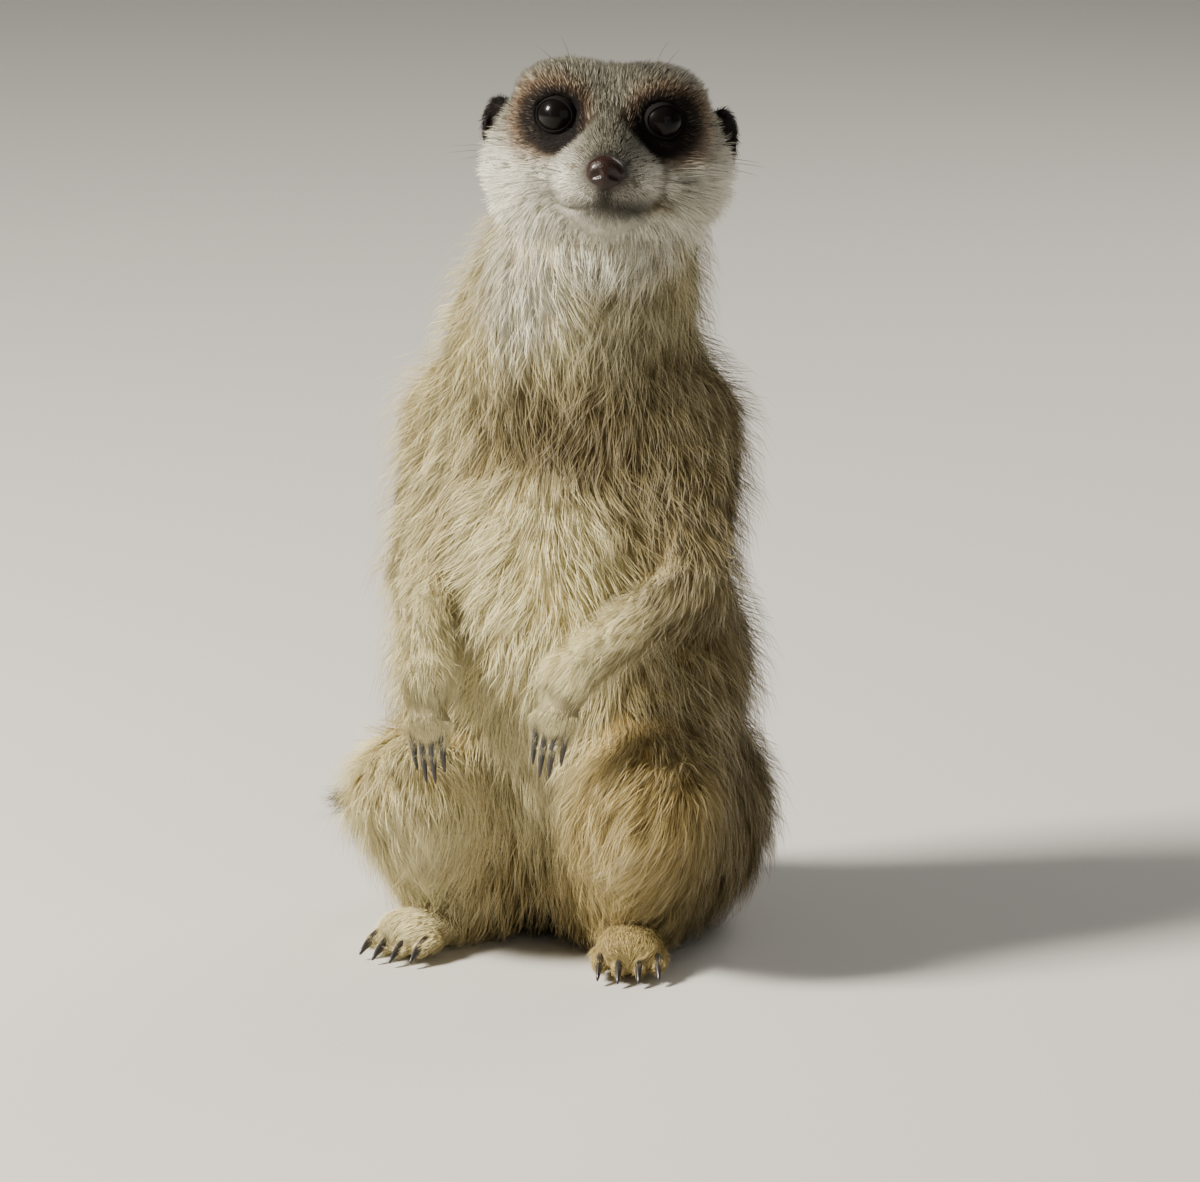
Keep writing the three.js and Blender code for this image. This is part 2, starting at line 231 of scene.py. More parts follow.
# Joints of the limbs, by side
ARMS = {
    "left": dict(
        shoulder=vec(33.5, 8, 154), elbow=vec(44, -17, 115), wrist=vec(20, -56, 93),
        knuckles=vec(17, -62, 82), fingers=unit(vec(-0.16, -0.2, -0.96)),
    ),
    "right": dict(
        shoulder=vec(-35, 8, 151), elbow=vec(-39, -15, 113), wrist=vec(-25.5, -51, 87),
        knuckles=vec(-23.5, -56, 76), fingers=unit(vec(0.06, -0.16, -0.98)),
    ),
}
LEGS = {  # lap is the fillet between the knee and the belly
    "left": dict(lap=30, hip=vec(22.5, 19, 37), knee=vec(35, -37, 53), ankle=vec(23, -8, 17),
                 toes=vec(31, -36, 7)),
    "right": dict(lap=21, hip=vec(-32, 18, 36), knee=vec(-35, -35, 49), ankle=vec(-29, -10, 17),
                  toes=vec(-36, -36, 7)),
}
# The middle line of the tail and its radius
TAIL_POINTS = np.array([(-1, 48, 24, 17), (3, 78, 11.7, 12.5), (-5, 106, 9.2, 10), (-36, 131, 7.6, 8.4),
                        (-76, 131, 6.2, 7), (-108, 114, 4.6, 5.4)], float)


def smooth_path(points, pieces):
    """A curve through the points: between each two it is the cubic with the slopes that join their
    neighbours, half as steep."""
    ends = np.concatenate([2 * points[:1] - points[1:2], points, 2 * points[-1:] - points[-2:-1]])
    t = np.arange(pieces)[:, None] / pieces
    path = []
    for before, a, b, after in zip(ends, ends[1:], ends[2:], ends[3:]):
        slope_a, slope_b = (b - before) / 2, (after - a) / 2
        path.append((2 * t**3 - 3 * t**2 + 1) * a + (t**3 - 2 * t**2 + t) * slope_a
                    + (3 * t**2 - 2 * t**3) * b + (t**3 - t**2) * slope_b)
    return np.concatenate([*path, points[-1:]])


TAIL = smooth_path(TAIL_POINTS, 3)
TAIL_PATH, TAIL_RADII = TAIL[:, :3], TAIL[:, 3]

# How each kind of coat grows: how deep the skin lies under its tips, the length and width of a tuft, how
# far it stands off the skin (0 lies flat, 1 stands up), tufts to a square millimetre, how wide a lock is,
# how far its tips are drawn together, and over how many millimetres it gives way to the next kind.
Coat = namedtuple("Coat", "depth length width lift density lock pull reach")
COATS = {
    "muzzle": Coat(1.0, 4.8, 0.20, 0.38, 8.0, 1.8, 0.15, 4.0),
    "bridge": Coat(1.0, 4.2, 0.20, 0.38, 8.0, 1.8, 0.15, 4.0),
    "jaw": Coat(1.2, 7.6, 0.21, 0.42, 9.0, 2.4, 0.25, 3.0),
    "crown": Coat(0.9, 6.5, 0.19, 0.34, 8.0, 2.4, 0.22, 5.0),
    "cheek": Coat(1.4, 10.0, 0.20, 0.46, 7.0, 3.0, 0.32, 4.0),
    "neck": Coat(5.0, 14.0, 0.25, 0.34, 3.6, 4.0, 0.18, 7.0),
    "chest": Coat(6.0, 16.0, 0.25, 0.34, 3.2, 4.5, 0.20, 8.0),
    "belly": Coat(7.0, 18.0, 0.26, 0.30, 3.0, 5.0, 0.22, 8.0),
    "rump": Coat(7.0, 18.0, 0.28, 0.31, 2.6, 5.0, 0.30, 8.0),
    "upper arm": Coat(5.0, 13.0, 0.25, 0.32, 3.4, 4.0, 0.18, 7.0),
    "forearm": Coat(2.2, 9.0, 0.20, 0.24, 6.5, 2.6, 0.16, 5.0),
    "hand": Coat(1.0, 7.0, 0.20, 0.20, 9.0, 2.0, 0.14, 4.0),
    "finger": Coat(0.5, 4.2, 0.18, 0.18, 9.0, 1.4, 0.10, 3.0),
    "thigh": Coat(7.0, 18.0, 0.27, 0.32, 2.6, 4.5, 0.32, 8.0),
    "shin": Coat(5.0, 15.0, 0.26, 0.30, 3.2, 4.0, 0.28, 6.0),
    "foot": Coat(1.2, 5.5, 0.22, 0.28, 6.0, 2.0, 0.15, 2.5),
    "toe": Coat(0.6, 3.4, 0.20, 0.24, 7.0, 1.5, 0.10, 1.5),
    "tail": Coat(3.2, 10.0, 0.29, 0.25, 3.6, 3.5, 0.20, 4.0),
    "ear": Coat(0.3, 6.4, 0.20, 0.35, 9.0, 1.8, 0.25, 1.0),
}

# The pieces of the coat, in the order of their numbers, and the most triangles in each
PIECES = {
    "crown": 125000, "cheeks": 110000, "muzzle": 80000, "neck": 140000, "chest": 175000,
    "belly": 145000, "rump": 130000, "arm_left": 95000, "arm_right": 95000,
    "leg_left": 130000, "leg_right": 130000, "tail": 96000,
}
EAR_TRIANGLES = 24000
NAMES = list(PIECES)

# Length, spacing, fan to a millimetre of length, and how much shorter the outer two are
Digits = namedtuple("Digits", "length spread fan outer_loss")
FINGER = Digits(7.5, 3.1, -0.02, 3.6)
TOE = Digits(8.5, 5.1, 0.06, 2.0)
DIGIT_PLACES = (-1.5, -0.5, 0.5, 1.5)
TOES_DOWN = vec(0, 0, -0.13)


def digits(limb, side):
    """The start and end of each of a hand's or foot's four digits, side by side."""
    if limb == "hand":
        joint, size, across = ARMS[side], FINGER, vec(1, 0, 0)
        root, direction = joint["knuckles"], joint["fingers"]
    else:
        joint, size = LEGS[side], TOE
        forward = forward_of(side)
        across = np.cross(forward, vec(0, 0, 1))
        root, direction = joint["toes"] - vec(0, 0, 1.6), unit(forward + TOES_DOWN)
    ends = []
    for place in DIGIT_PLACES:
        way = unit(direction + across * size.fan * place)
        start = root + across * size.spread * place
        ends.append((start, start + way * (size.length - size.outer_loss * (abs(place) - 0.5))))
    return ends


def forward_of(side):
    """The level direction in which a foot points."""
    return unit((LEGS[side]["toes"] - LEGS[side]["ankle"]) * vec(1, 1, 0))


def towards(direction):
    """Hair lies the same way all over."""
    return lambda points: np.broadcast_to(unit(vec(*direction)), points.shape)


def down_the_back(points):
    """Hair lies down and a little back, and spreads out from the body's middle line."""
    return unit(vec(0, 0.25, -1) + 0.3 * unit(points * vec(1, 1, 0) + 1e-6))


def swept_back(points):
    """Hair lies away from the nose, and turns down at the back of the head."""
    behind = ramp(to_head(points)[:, 1], -4, 22)
    nose_tip = from_head(vec(0, -52, -4))
    return unit(unit(points - nose_tip) + behind[:, None] * vec(0, 0, -0.9))


Form = namedtuple("Form", "piece coat shape fillet flow")


def make_forms():
    """Every soft form of the flesh, out to the tips of the coat, in the order in which they melt."""
    forms = []

    def add(piece, coat, shape, fillet, flow):
        forms.append(Form(piece, coat, shape.grown(-COATS[coat].depth), fillet, flow))

    add("rump", "rump", Ball((-2, 22, 33), (54, 46, 43)), 14, down_the_back)
    add("belly", "belly", Ball((0, 6, 84), (57, 49, 54)), 24, down_the_back)
    add("chest", "chest", Ball((0, 9, 130), (50, 43, 46)), 14, down_the_back)
    add("chest", "chest", Ball((0, 8, 158), (46, 36, 31)), 14, down_the_back)
    add("neck", "neck", Limb((1, 5, 180), (12, -6, 213), 38.5, 32), 14, towards((0, 0, -1)))

    for piece, coat, fillet, *shapes in (
        ("crown", "crown", 7, Ball((0, -1, 2.6), (31.3, 28, 18.6))),
        ("crown", "crown", 7, *(Ball((x, -12, 13.5), (14, 13, 9.5)) for x in (13, -13))),
        ("cheeks", "cheek", 11, *(Ball((x, -4, -9.8), (15, 21, 14)) for x in (18.5, -18.5))),
        ("cheeks", "cheek", 8, *(Limb((9.5 * sign, -24, -11.5), (17 * sign, -10, -11.5), 7.6, 12)
                                 for sign in SIDES.values())),
        ("crown", "bridge", 9, Limb((0, -10, -4.5), (0, -28, -5.4), 16.5, 11.6)),
        ("muzzle", "muzzle", 6, Limb((0, -28, -5.4), (0, -42, -7.6), 11.6, 7.3)),
        ("muzzle", "muzzle", 7, *(Ball((x, -34.5, -10.9), (7.8, 9.2, 6.1)) for x in (6.6, -6.6))),
        ("muzzle", "jaw", 12, Limb((0, -6, -13), (0, -33, -17.2), 12.0, 5.8)),
    ):
        for shape in shapes:
            add(piece, coat, OnHead(shape), fillet, swept_back)

    for side, joint in ARMS.items():
        piece = f"arm_{side}"
        shoulder, elbow, wrist, knuckles, _ = joint.values()
        add(piece, "upper arm", Limb(shoulder, elbow, 17.5, 12.4), 14, towards(elbow - shoulder))
        add(piece, "forearm", Limb(elbow, wrist, 9.8, 7.9), 4, towards(wrist - elbow))
        palm = Limb(wrist, knuckles, 6.9, 6.6, (0, -1, 0), 0.85)
        add(piece, "hand", palm, 4, towards(knuckles - wrist))
        for start, end in digits("hand", side):
            add(piece, "finger", Limb(start, end, 2.7, 2.2), 0.9, towards(end - start))

    for side, joint in LEGS.items():
        piece, sign = f"leg_{side}", SIDES[side]
        lap, hip, knee, ankle, toes = joint.values()
        over_the_knee = towards((-0.25 * sign, -0.62, -1))
        add(piece, "thigh", Ball(hip, (30.5, 35, 35)), 10, over_the_knee)
        add(piece, "thigh", Limb(hip, knee, 25, 19.3), lap, over_the_knee)
        add(piece, "shin", Limb(knee, ankle, 19, 21), 14, towards((-0.2 * sign, -0.5, -1)))
        forward = forward_of(side)
        heel = (ankle - 4 * forward) * vec(1, 1, 0) + vec(0, 0, 7.5)
        add(piece, "foot", Limb(heel, toes, 10, 10.5, (0, 0, 1), 0.72), 4, towards(forward))
        for start, end in digits("foot", side):
            add(piece, "toe", Limb(start, end, 3.8, 3.0), 1.2, towards(unit(forward + TOES_DOWN)))

    for a, b, start, end in zip(TAIL_PATH, TAIL_PATH[1:], TAIL_RADII, TAIL_RADII[1:]):
        add("tail", "tail", Limb(a, b, start, end), 5, towards(b - a))
    return forms


EYES = {side: to_head(centre_of(f"eye_{side}")) for side in SIDES}
EYE_RADIUS = 6.2
NOSE = to_head(centre_of("nose"))
FLOOR_CLEARANCE = 0.4
# The line between the lips, from the middle of the mouth to its corner
LIPS = ((0, -46.5, -15.3), (5.5, -43, -16.2), (10.5, -36, -16.4), (14, -28, -15.0))


def make_hollows():
    """What is taken out of the flesh: the shape and how round its rim is."""
    for side, sign in SIDES.items():
        eye = EYES[side]
        yield OnHead(Ball(eye + vec(sign * 0.3, -9.5, 0), (8.4, 4.8, 7.6))), 5
        yield OnHead(Ball(eye, (EYE_RADIUS + 0.25,) * 3)), 0.6
        for a, b in zip(LIPS, LIPS[1:]):
            yield OnHead(Limb(vec(*a) * vec(sign, 1, 1), vec(*b) * vec(sign, 1, 1), 0.6, 0.6)), 1.0


FORMS = make_forms()
STEPS = [(form.shape, form.fillet, melt) for form in FORMS]
STEPS += [(shape, rim, hollow) for shape, rim in make_hollows()]
OUTSIDE = 99.0


def flesh(points):
    """How far each point is outside the skin."""
    field = np.full(points.shape[:-1], OUTSIDE)
    for shape, blend, combine in STEPS:
        field = combine(field, shape.distance(points), blend)
    return np.maximum(field, FLOOR_CLEARANCE - points[..., 2])


def flesh_on_grid(axes):
    """The same field on a block of grid points, with each form worked out only near itself."""
    field = np.full([len(axis) for axis in axes], OUTSIDE)
    for shape, blend, combine in STEPS:
        margin = blend + 3
        part = tuple(slice(*np.searchsorted(axis, (low - margin, high + margin)))
                     for axis, low, high in zip(axes, *shape.box()))
        points = np.stack(np.meshgrid(*(axis[s] for axis, s in zip(axes, part)), indexing="ij"), -1)
        field[part] = combine(field[part], shape.distance(points), blend)
    return np.maximum(field, FLOOR_CLEARANCE - axes[2])


def graded(low, high, coarse, fine, spans):
    """Grid lines from low to high: fine steps inside the spans and coarse ones outside."""
    lines = [low]
    while lines[-1] < high:
        inside = any(a <= lines[-1] < b for a, b in spans)
        lines.append(lines[-1] + (fine if inside else coarse))
    return np.array(lines)


def net_of(field, axes):
    """The surface where the field is 0, as points and outward quads. Each grid cell that the surface
    passes through gets one point, at the mean of the crossings on its edges, and each grid edge that
    crosses the surface gets one quad between the four cells round it."""
    steps = np.eye(3, dtype=int)
    inside = field < 0
    nx, ny, nz = (size - 1 for size in field.shape)
    counts = sum(inside[i : i + nx, j : j + ny, k : k + nz].astype(np.int8)
                 for i in (0, 1) for j in (0, 1) for k in (0, 1))
    cells = np.argwhere((counts > 0) & (counts < 8))
    number = np.full(counts.shape, -1, np.int32)
    number[tuple(cells.T)] = np.arange(len(cells))

    def place(corner):
        return np.stack([line[corner[:, k]] for k, line in enumerate(axes)], -1)

    total, crossings = np.zeros((len(cells), 3)), np.zeros((len(cells), 1))
    quads = []
    for axis in range(3):
        first, second = np.delete(steps, axis, 0)
        for a in (0, 1):
            for b in (0, 1):
                start = cells + a * first + b * second
                end = start + steps[axis]
                f0, f1 = field[tuple(start.T)], field[tuple(end.T)]
                crossed = (f0 < 0) != (f1 < 0)
                t = np.where(crossed, f0 / np.where(crossed, f0 - f1, 1), 0)[:, None]
                total += (place(start) * (1 - t) + place(end) * t) * crossed[:, None]
                crossings += crossed[:, None]
        edges = np.argwhere(np.diff(inside, axis=axis))
        leaving = inside[tuple(edges.T)]
        j, k = steps[(axis + 1) % 3], steps[(axis + 2) % 3]
        ring = [edges - j - k, edges - k, edges, edges - j]
        corners = np.stack([number[tuple(cell.T)] for cell in ring], -1)
        quads.append(np.where(leaving[:, None], corners, corners[:, ::-1]))
    return total / crossings, np.concatenate(quads)


def slope_of(field, points, step):
    """The direction in which a field grows fastest, by central differences."""
    return np.stack([(field(points + h) - field(points - h)) / (2 * step) for h in step * np.eye(3)], -1)


def settle(field, points, step, limit):
    """Moves points on to the surface of a field along its slope, in two moves of limit at most, and gives
    the outward directions there."""
    for _ in range(2):
        slope = slope_of(field, points, step)
        steep = np.maximum((slope**2).sum(-1), 0.25)
        points = points - np.clip(field(points) / steep, -limit, limit)[:, None] * slope
    return points, unit(slope_of(field, points, step))


# ---- Meshes ----
def new_object(name, points, faces):
    """A smooth mesh object at the origin from points in millimetres and an array of equal-sided faces."""
    mesh = bpy.data.meshes.new(name)
    faces = np.ascontiguousarray(faces, np.int32)
    sides = faces.shape[1]
    mesh.vertices.add(len(points))
    mesh.vertices.foreach_set("co", (np.asarray(points) * MM).astype(np.float32).ravel())
    mesh.loops.add(faces.size)
    mesh.loops.foreach_set("vertex_index", faces.ravel())
    mesh.polygons.add(len(faces))
    mesh.polygons.foreach_set("loop_start", np.arange(0, faces.size, sides, dtype=np.int32))
    mesh.polygons.foreach_set("use_smooth", np.ones(len(faces), bool))
    mesh.update(calc_edges=True)
    mesh.validate()
    obj = bpy.data.objects.new(name, mesh)
    bpy.context.scene.collection.objects.link(obj)
    return obj


def finish_piece(obj, material, slot, *nodes):
    """Gives a piece its material, hangs it on the body's frame, and hides the solids that it stands for."""
    obj.data.materials.append(material)
    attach(obj, BODY)
    if nodes:
        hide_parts(*nodes)


def give(obj, name, values):
    """Writes one value, or one colour, for each point of a mesh."""
    values = np.asarray(values, np.float32)
    kind, key = ("FLOAT", "value") if values.ndim == 1 else ("FLOAT_COLOR", "color")
    if values.ndim == 2:
        values = np.concatenate([values, np.ones((len(values), 1), np.float32)], 1)
    obj.data.attributes.new(name, kind, "POINT").data.foreach_set(key, values.ravel())


def grid_faces(rows, columns, closed=True):
    """The quads of a grid of points, joined round along its columns."""
    i, j = np.meshgrid(np.arange(rows - 1), np.arange(columns if closed else columns - 1), indexing="ij")
    k = (j + 1) % columns
    corners = (i * columns + j, i * columns + k, (i + 1) * columns + k, (i + 1) * columns + j)
    return np.stack(corners, -1).reshape(-1, 4)


def triangles_of(quads):
    """The same faces as triangles."""
    return np.concatenate([quads[:, [0, 1, 2]], quads[:, [0, 2, 3]]])


def closed_tube(path, section):
    """A tube with a section, given as offsets, round each point of a line, and a point at each end."""
    count, sides = section.shape[:2]
    points = np.concatenate([(path[:, None] + section).reshape(-1, 3), path[:1], path[-1:]])
    first, last = np.arange(sides), (count - 1) * sides + np.arange(sides)
    base = np.stack([np.full(sides, count * sides), np.roll(first, -1), first], 1)
    tip = np.stack([np.full(sides, count * sides + 1), last, np.roll(last, -1)], 1)
    return points, np.concatenate([triangles_of(grid_faces(count, sides)), base, tip])


def joined(shapes):
    """Several points-and-faces pairs as one."""
    offsets = np.cumsum([0] + [len(points) for points, _ in shapes[:-1]])
    return (np.concatenate([points for points, _ in shapes]),
            np.concatenate([faces + offset for (_, faces), offset in zip(shapes, offsets)]))


# ---- Skin: where it is, and what grows on it ----
Skin = namedtuple("Skin", "points normals quads piece coat flow tone grizzle stand")
skin_store = {}

# How much the long hairs of each kind of coat stand out on the sides and the back
STANDING = {"neck": 0.7, "chest": 0.9, "belly": 0.4, "rump": 0.4, "upper arm": 0.75, "forearm": 0.9,
            "thigh": 0.2}
# The line down the throat and breast on which the hair of the two sides meets
PARTING_TOP, PARTING_END = vec(20, -42, 212), vec(8, -30, 165)
# Where the grid of the skin has its fine cells, by axis: the head, the hands and the feet
FINE_SPANS = ([(-50, 52)], [(-75, -19)], [(-3, 16), (62, 96), (216, 270)])
GRID_MARGIN, GRID_FLOOR = 4, -2.05


def weights_of(points):
    """How much each form counts at each point: 1 for the nearest before sharing, falling off by e for
    each reach that another is further away. Two kinds of coat share the smaller of their reaches."""
    distances = np.stack([form.shape.distance(points) for form in FORMS])
    reach = np.array([COATS[form.coat].reach for form in FORMS])
    shared = np.minimum(reach[:, None], reach[distances.argmin(0)])
    near = np.exp(-(distances - distances.min(0)) / shared)
    return near / near.sum(0)


def shared_out(weights, values):
    """One number for each point, from one for each form's kind of coat and 0 for the kinds not named."""
    return np.einsum("fn,f->n", weights, [values.get(form.coat, 0.0) for form in FORMS])


def standing(points, normals, weights):
    """How much the long hairs stand out: fully where the body faces to a side or to the back, and less
    towards the floor."""
    sideways = np.maximum(normals[:, 0] * np.sign(points[:, 0]), normals[:, 1])
    return shared_out(weights, STANDING) * ramp(sideways, 0.35, 0.9) * ramp(points[:, 2], 35, 85)


def parted(flow, points):
    """The lie of the coat with its whorls: round each eye it lies away from the eye; on the throat the two
    sides lie towards the parting, and below the breast away from it."""
    head = to_head(points)
    for eye in EYES.values():
        away = (head - eye) @ HEAD_TURN.T
        reach = np.exp(-((norm(away) / 11) ** 2))
        flow = flow + 1.2 * reach[:, None] * unit(away)
    along = PARTING_END - PARTING_TOP
    place = np.clip((points - PARTING_TOP) @ along / (along @ along), 0, 1.6)
    offset = points[:, 0] - (PARTING_TOP + place[:, None] * along)[:, 0]
    front = ramp(-points[:, 1], 2, 22) * ramp(points[:, 2], 90, 120) * ramp(points[:, 2], 226, 210)
    turn_out = ramp(points[:, 2], 168, 140)
    flow[:, 0] += np.tanh(offset / 5) * np.exp(-np.abs(offset) / 30) * front * (1.3 * turn_out - 0.7)
    return flow


def make_skin(settings):
    """Works out the skin once: its surface, and at each point the coat, its lie and its markings."""
    low, high = (np.array(corner) / MM for corner in CAD_BOX)
    starts = (low[0] - GRID_MARGIN, low[1] - GRID_MARGIN, GRID_FLOOR)
    cells = settings.coarse_cell / MM, settings.fine_cell / MM
    axes = [graded(start, end + GRID_MARGIN, *cells, spans)
            for start, end, spans in zip(starts, high, FINE_SPANS)]
    points, quads = net_of(flesh_on_grid(axes), axes)
    points, normals = settle(flesh, points, 0.15, 0.6)
    weights = weights_of(points)
    owner = np.array([NAMES.index(form.piece) for form in FORMS])
    share = np.stack([weights[owner == i].sum(0) for i in range(len(NAMES))])
    coat = np.einsum("fn,fc->nc", weights, np.stack([COATS[form.coat] for form in FORMS]))
    flow = sum(w[:, None] * form.flow(points) for w, form in zip(weights, FORMS))
    flow = tangent(parted(flow, points), normals)
    tone, grizzle = markings(points, normals, weights, share)
    stand = standing(points, normals, weights)
    return Skin(points, normals, quads, share.argmax(0), coat, flow, tone, grizzle, stand)


# ---- Markings ----
# Besides the parts named, cream and sand also paint light on the -X side, and brown paints shade on the +X
# side and in creases.
PALETTE = {
    "white": ((0.84, 0.82, 0.70), "Cheeks and chin"),
    "cream": ((0.88, 0.80, 0.47), "Throat and belly"),
    "sand": ((0.76, 0.67, 0.37), "Forearms and neck"),
    "tan": ((0.54, 0.44, 0.21), "Flanks and shoulders"),
    "ash": ((0.28, 0.27, 0.20), "Back"),
    "grey": ((0.155, 0.15, 0.11), "Crown and bridge of the nose"),
    "brown": ((0.19, 0.145, 0.065), "Chest mark and bars of the back"),
    "rufous": ((0.56, 0.41, 0.15), "Thighs"),
    "russet": ((0.24, 0.12, 0.05), "Fringe of the eye patches"),
    "buff": ((0.74, 0.60, 0.27), "Feet and tail"),
    "umber": ((0.010, 0.007, 0.006), "Eye patches, ears, lips and tail tip"),
}
# The colour of each kind of coat before its markings
BASE_COLOURS = {
    "muzzle": "white", "bridge": "grey", "jaw": "white", "crown": "grey", "cheek": "white", "neck": "sand",
    "chest": "tan", "belly": "tan", "rump": "tan", "upper arm": "tan", "forearm": "sand", "hand": "sand",
    "finger": "sand", "thigh": "rufous", "shin": "buff", "foot": "buff", "toe": "buff", "tail": "buff",
}
# How much of each coat's hair is ringed with dark
GRIZZLE = {"chest": 0.6, "belly": 0.55, "rump": 0.6, "crown": 0.45, "upper arm": 0.5, "forearm": 0.4,
           "neck": 0.4, "thigh": 0.42, "shin": 0.3, "tail": 0.4, "bridge": 0.35, "cheek": 0.08}

# The soft-edged patches of colour in the order in which they are laid on: whether in the body's frame or
# the head's, the centre and radii, the colour, its strength, and how far it fades on each side of the rim
Mark = namedtuple("Mark", "frame centre radii colour strength soft")
MARKS = [
    # The throat's own pale colour, set whiter towards -X, where the key light falls, and greyer towards +X,
    # as painted light and painted shade.
    ("body", (-4, -34, 197), (26, 30, 26), "cream", 0.8, 0.5),
    ("body", (-8, -34, 206), (17, 22, 22), "white", 0.85, 0.5),
    ("body", (26, -30, 196), (13, 24, 24), "ash", 0.55, 0.6),
    # Painted light: cream on the -X shoulder, the side towards the key light.
    ("body", (-34, -14, 168), (20, 32, 34), "cream", 0.7, 0.6),
    ("body", (-46, -4, 148), (9, 16, 28), "rufous", 0.45, 0.6),
    # Painted light: cream on the -X side of the belly and arm.
    ("body", (-42, -32, 103), (17, 36, 32), "cream", 0.6, 0.5),
    # Painted shade: brown on the +X shoulder and upper arm, the side away from the key light.
    ("body", (40, -10, 160), (18, 34, 34), "brown", 0.45, 0.6),
    ("body", (14, -40, 196), (3.4, 14, 22), "brown", 0.7, 0.9),
    ("body", (0, -50, 105), (30, 66, 46), "cream", 0.97, 0.22),
    ("body", (0, -46, 58), (21, 30, 28), "cream", 0.8, 0.5),
    ("body", (9, -30, 165), (32, 26, 17), "brown", 0.75, 0.55),
    ("body", (10, -32, 159), (17, 16, 9), "brown", 0.9, 0.5),
    # Painted shade: brown in the crease on the inner side of the +X arm, beside the chest mark.
    ("body", (29, -32, 145), (10, 14, 12), "brown", 0.75, 0.6),
    # The +X flank's and haunch's own darker rufous-brown, deepened as painted shade on the side away from the
    # key light.
    ("body", (50, 4, 100), (22, 44, 70), "brown", 0.62, 0.6),
    ("body", (56, 6, 40), (26, 46, 48), "brown", 0.62, 0.6),
    ("head", (0, 24, -2), (34, 20, 26), "ash", 0.85, 0.5),
    ("head", (0, -14, -22), (26, 30, 13), "white", 0.9, 0.4),
    ("head", (0, -35, 2), (9.5, 18, 9), "grey", 0.9, 0.5),
    # Partly the thigh's own pale front and partly painted light on the -X thigh, towards the key light.
    ("body", (-42, -44, 36), (26, 44, 44), "cream", 0.85, 0.45),
    ("body", (24, -48, 30), (24, 28, 34), "buff", 0.85, 0.5),
    # Painted light: sand on the -X flank.
    ("body", (-48, 4, 130), (18, 40, 50), "sand", 0.8, 0.6),
    ("body", (-19, -50, 33), (7, 10, 8), "brown", 0.7, 0.6),
    # Partly darker fur and partly painted shade in the hollow between the thighs.
    ("body", (-2, -46, 50), (6, 12, 6), "brown", 0.85, 0.6),
    # The dark lips, spread upwards and towards +X as painted shade under the upper lip.
    ("head", (0, -42, -15.2), (9, 9, 2.4), "umber", 0.7, 0.7),
    ("head", (7, -38, -14.5), (9, 10, 3.6), "umber", 0.75, 0.6),
    ("head", (14, -30, -15.5), (5, 7, 3.4), "brown", 0.85, 0.6),
    ("head", (-13, -31, -13), (5, 7, 3.6), "grey", 0.7, 0.6),
    # Partly the dark groove of the upper lip and partly painted shade under the nose.
    ("head", (0, -45, -11.5), (2.4, 6, 3.6), "umber", 0.8, 0.6),
    ("head", (0, -46, -5), (8.2, 6, 7.2), "umber", 0.8, 0.5),
]
for sign in SIDES.values():  # the eye patches
    MARKS += [
        ("head", (sign * 15.5, -18, 5.4), (12.8, 15, 12.8), "russet", 0.7, 0.22),
        ("head", (sign * 15.2, -19, 5.8), (10.5, 13, 10.6), "umber", 0.97, 0.16),
        ("head", (sign * 11.6, -23, 0.8), (6.6, 9, 6.2), "umber", 0.95, 0.25),
    ]
MARKS.append(("body", tuple(TAIL_PATH[-1]), (34, 34, 20), "umber", 0.95, 0.35))


def markings(points, normals, weights, share):
    """The colour of the coat at each point, and how much of it is ringed with dark: the base of each kind,
    the grey back with its wavering bars, and the marks, some of which are painted light on the -X side and
    painted shade on the +X side, in creases and under the lip."""
    palette = {name: np.array(getattr(bpy.context.scene.meerkat_palette, name)) for name in PALETTE}
    base = np.stack([palette[BASE_COLOURS[form.coat]] for form in FORMS])
    tone = np.einsum("fn,fc->nc", weights, base)
    grizzle = shared_out(weights, GRIZZLE)
    trunk = share[NAMES.index("neck") : NAMES.index("rump") + 1].sum(0)
    rear = ramp(normals[:, 1], -0.2, 0.5) * trunk * ramp(points[:, 2], 268, 238)
    waver = points[:, 2] / 3.5 + 0.9 * noise(points, 40, 11)
    bars = rear * ramp(points[:, 2], 165, 135) * ramp(np.sin(waver), 0.0, 0.6)
    tone += (palette["ash"] - tone) * (0.75 * rear)[:, None]
    tone += (palette["brown"] - tone) * (0.95 * bars)[:, None]
    grizzle += 0.35 * rear
    grizzle += 0.4 * bars
    tone *= 1 + 0.10 * noise(points, 22, 5)[:, None]
    places = {"body": points, "head": to_head(points)}
    for mark in (Mark(*row) for row in MARKS):
        near = norm((places[mark.frame] - vec(*mark.centre)) / mark.radii)
        cover = mark.strength * (1 - ramp(near, 1 - mark.soft, 1 + mark.soft))
        tone += (palette[mark.colour] - tone) * cover[:, None]
        if mark.colour in ("umber", "white", "cream"):
            grizzle *= 1 - 0.8 * cover
    return tone, grizzle


# ---- Coat: tufts over the skin ----
DENSITY = Coat._fields.index("density")  # its column in the skin's table
# A guard hair is a long one. It grows where the coat is longer than this, and is longer, stands further
# off the skin and is thinner than its neighbours by these factors, the first two more so where it stands.
GUARD_COAT = 7.9
GUARD_LENGTH, GUARD_LIFT, GUARD_WIDTH = 1.4, 2.1, 0.8
STANDING_LENGTH, STANDING_LIFT = 0.55, 0.9
LOWEST_HAIR = 0.12
PATCH = 0.003  # how wide a hair's patch is on the unwrap
SLOTS = {"crown": "face_fur", "cheeks": "face_fur", "muzzle": "face_fur", "belly": "belly_fur",
         "ear_left": "dark_fur", "ear_right": "dark_fur"}
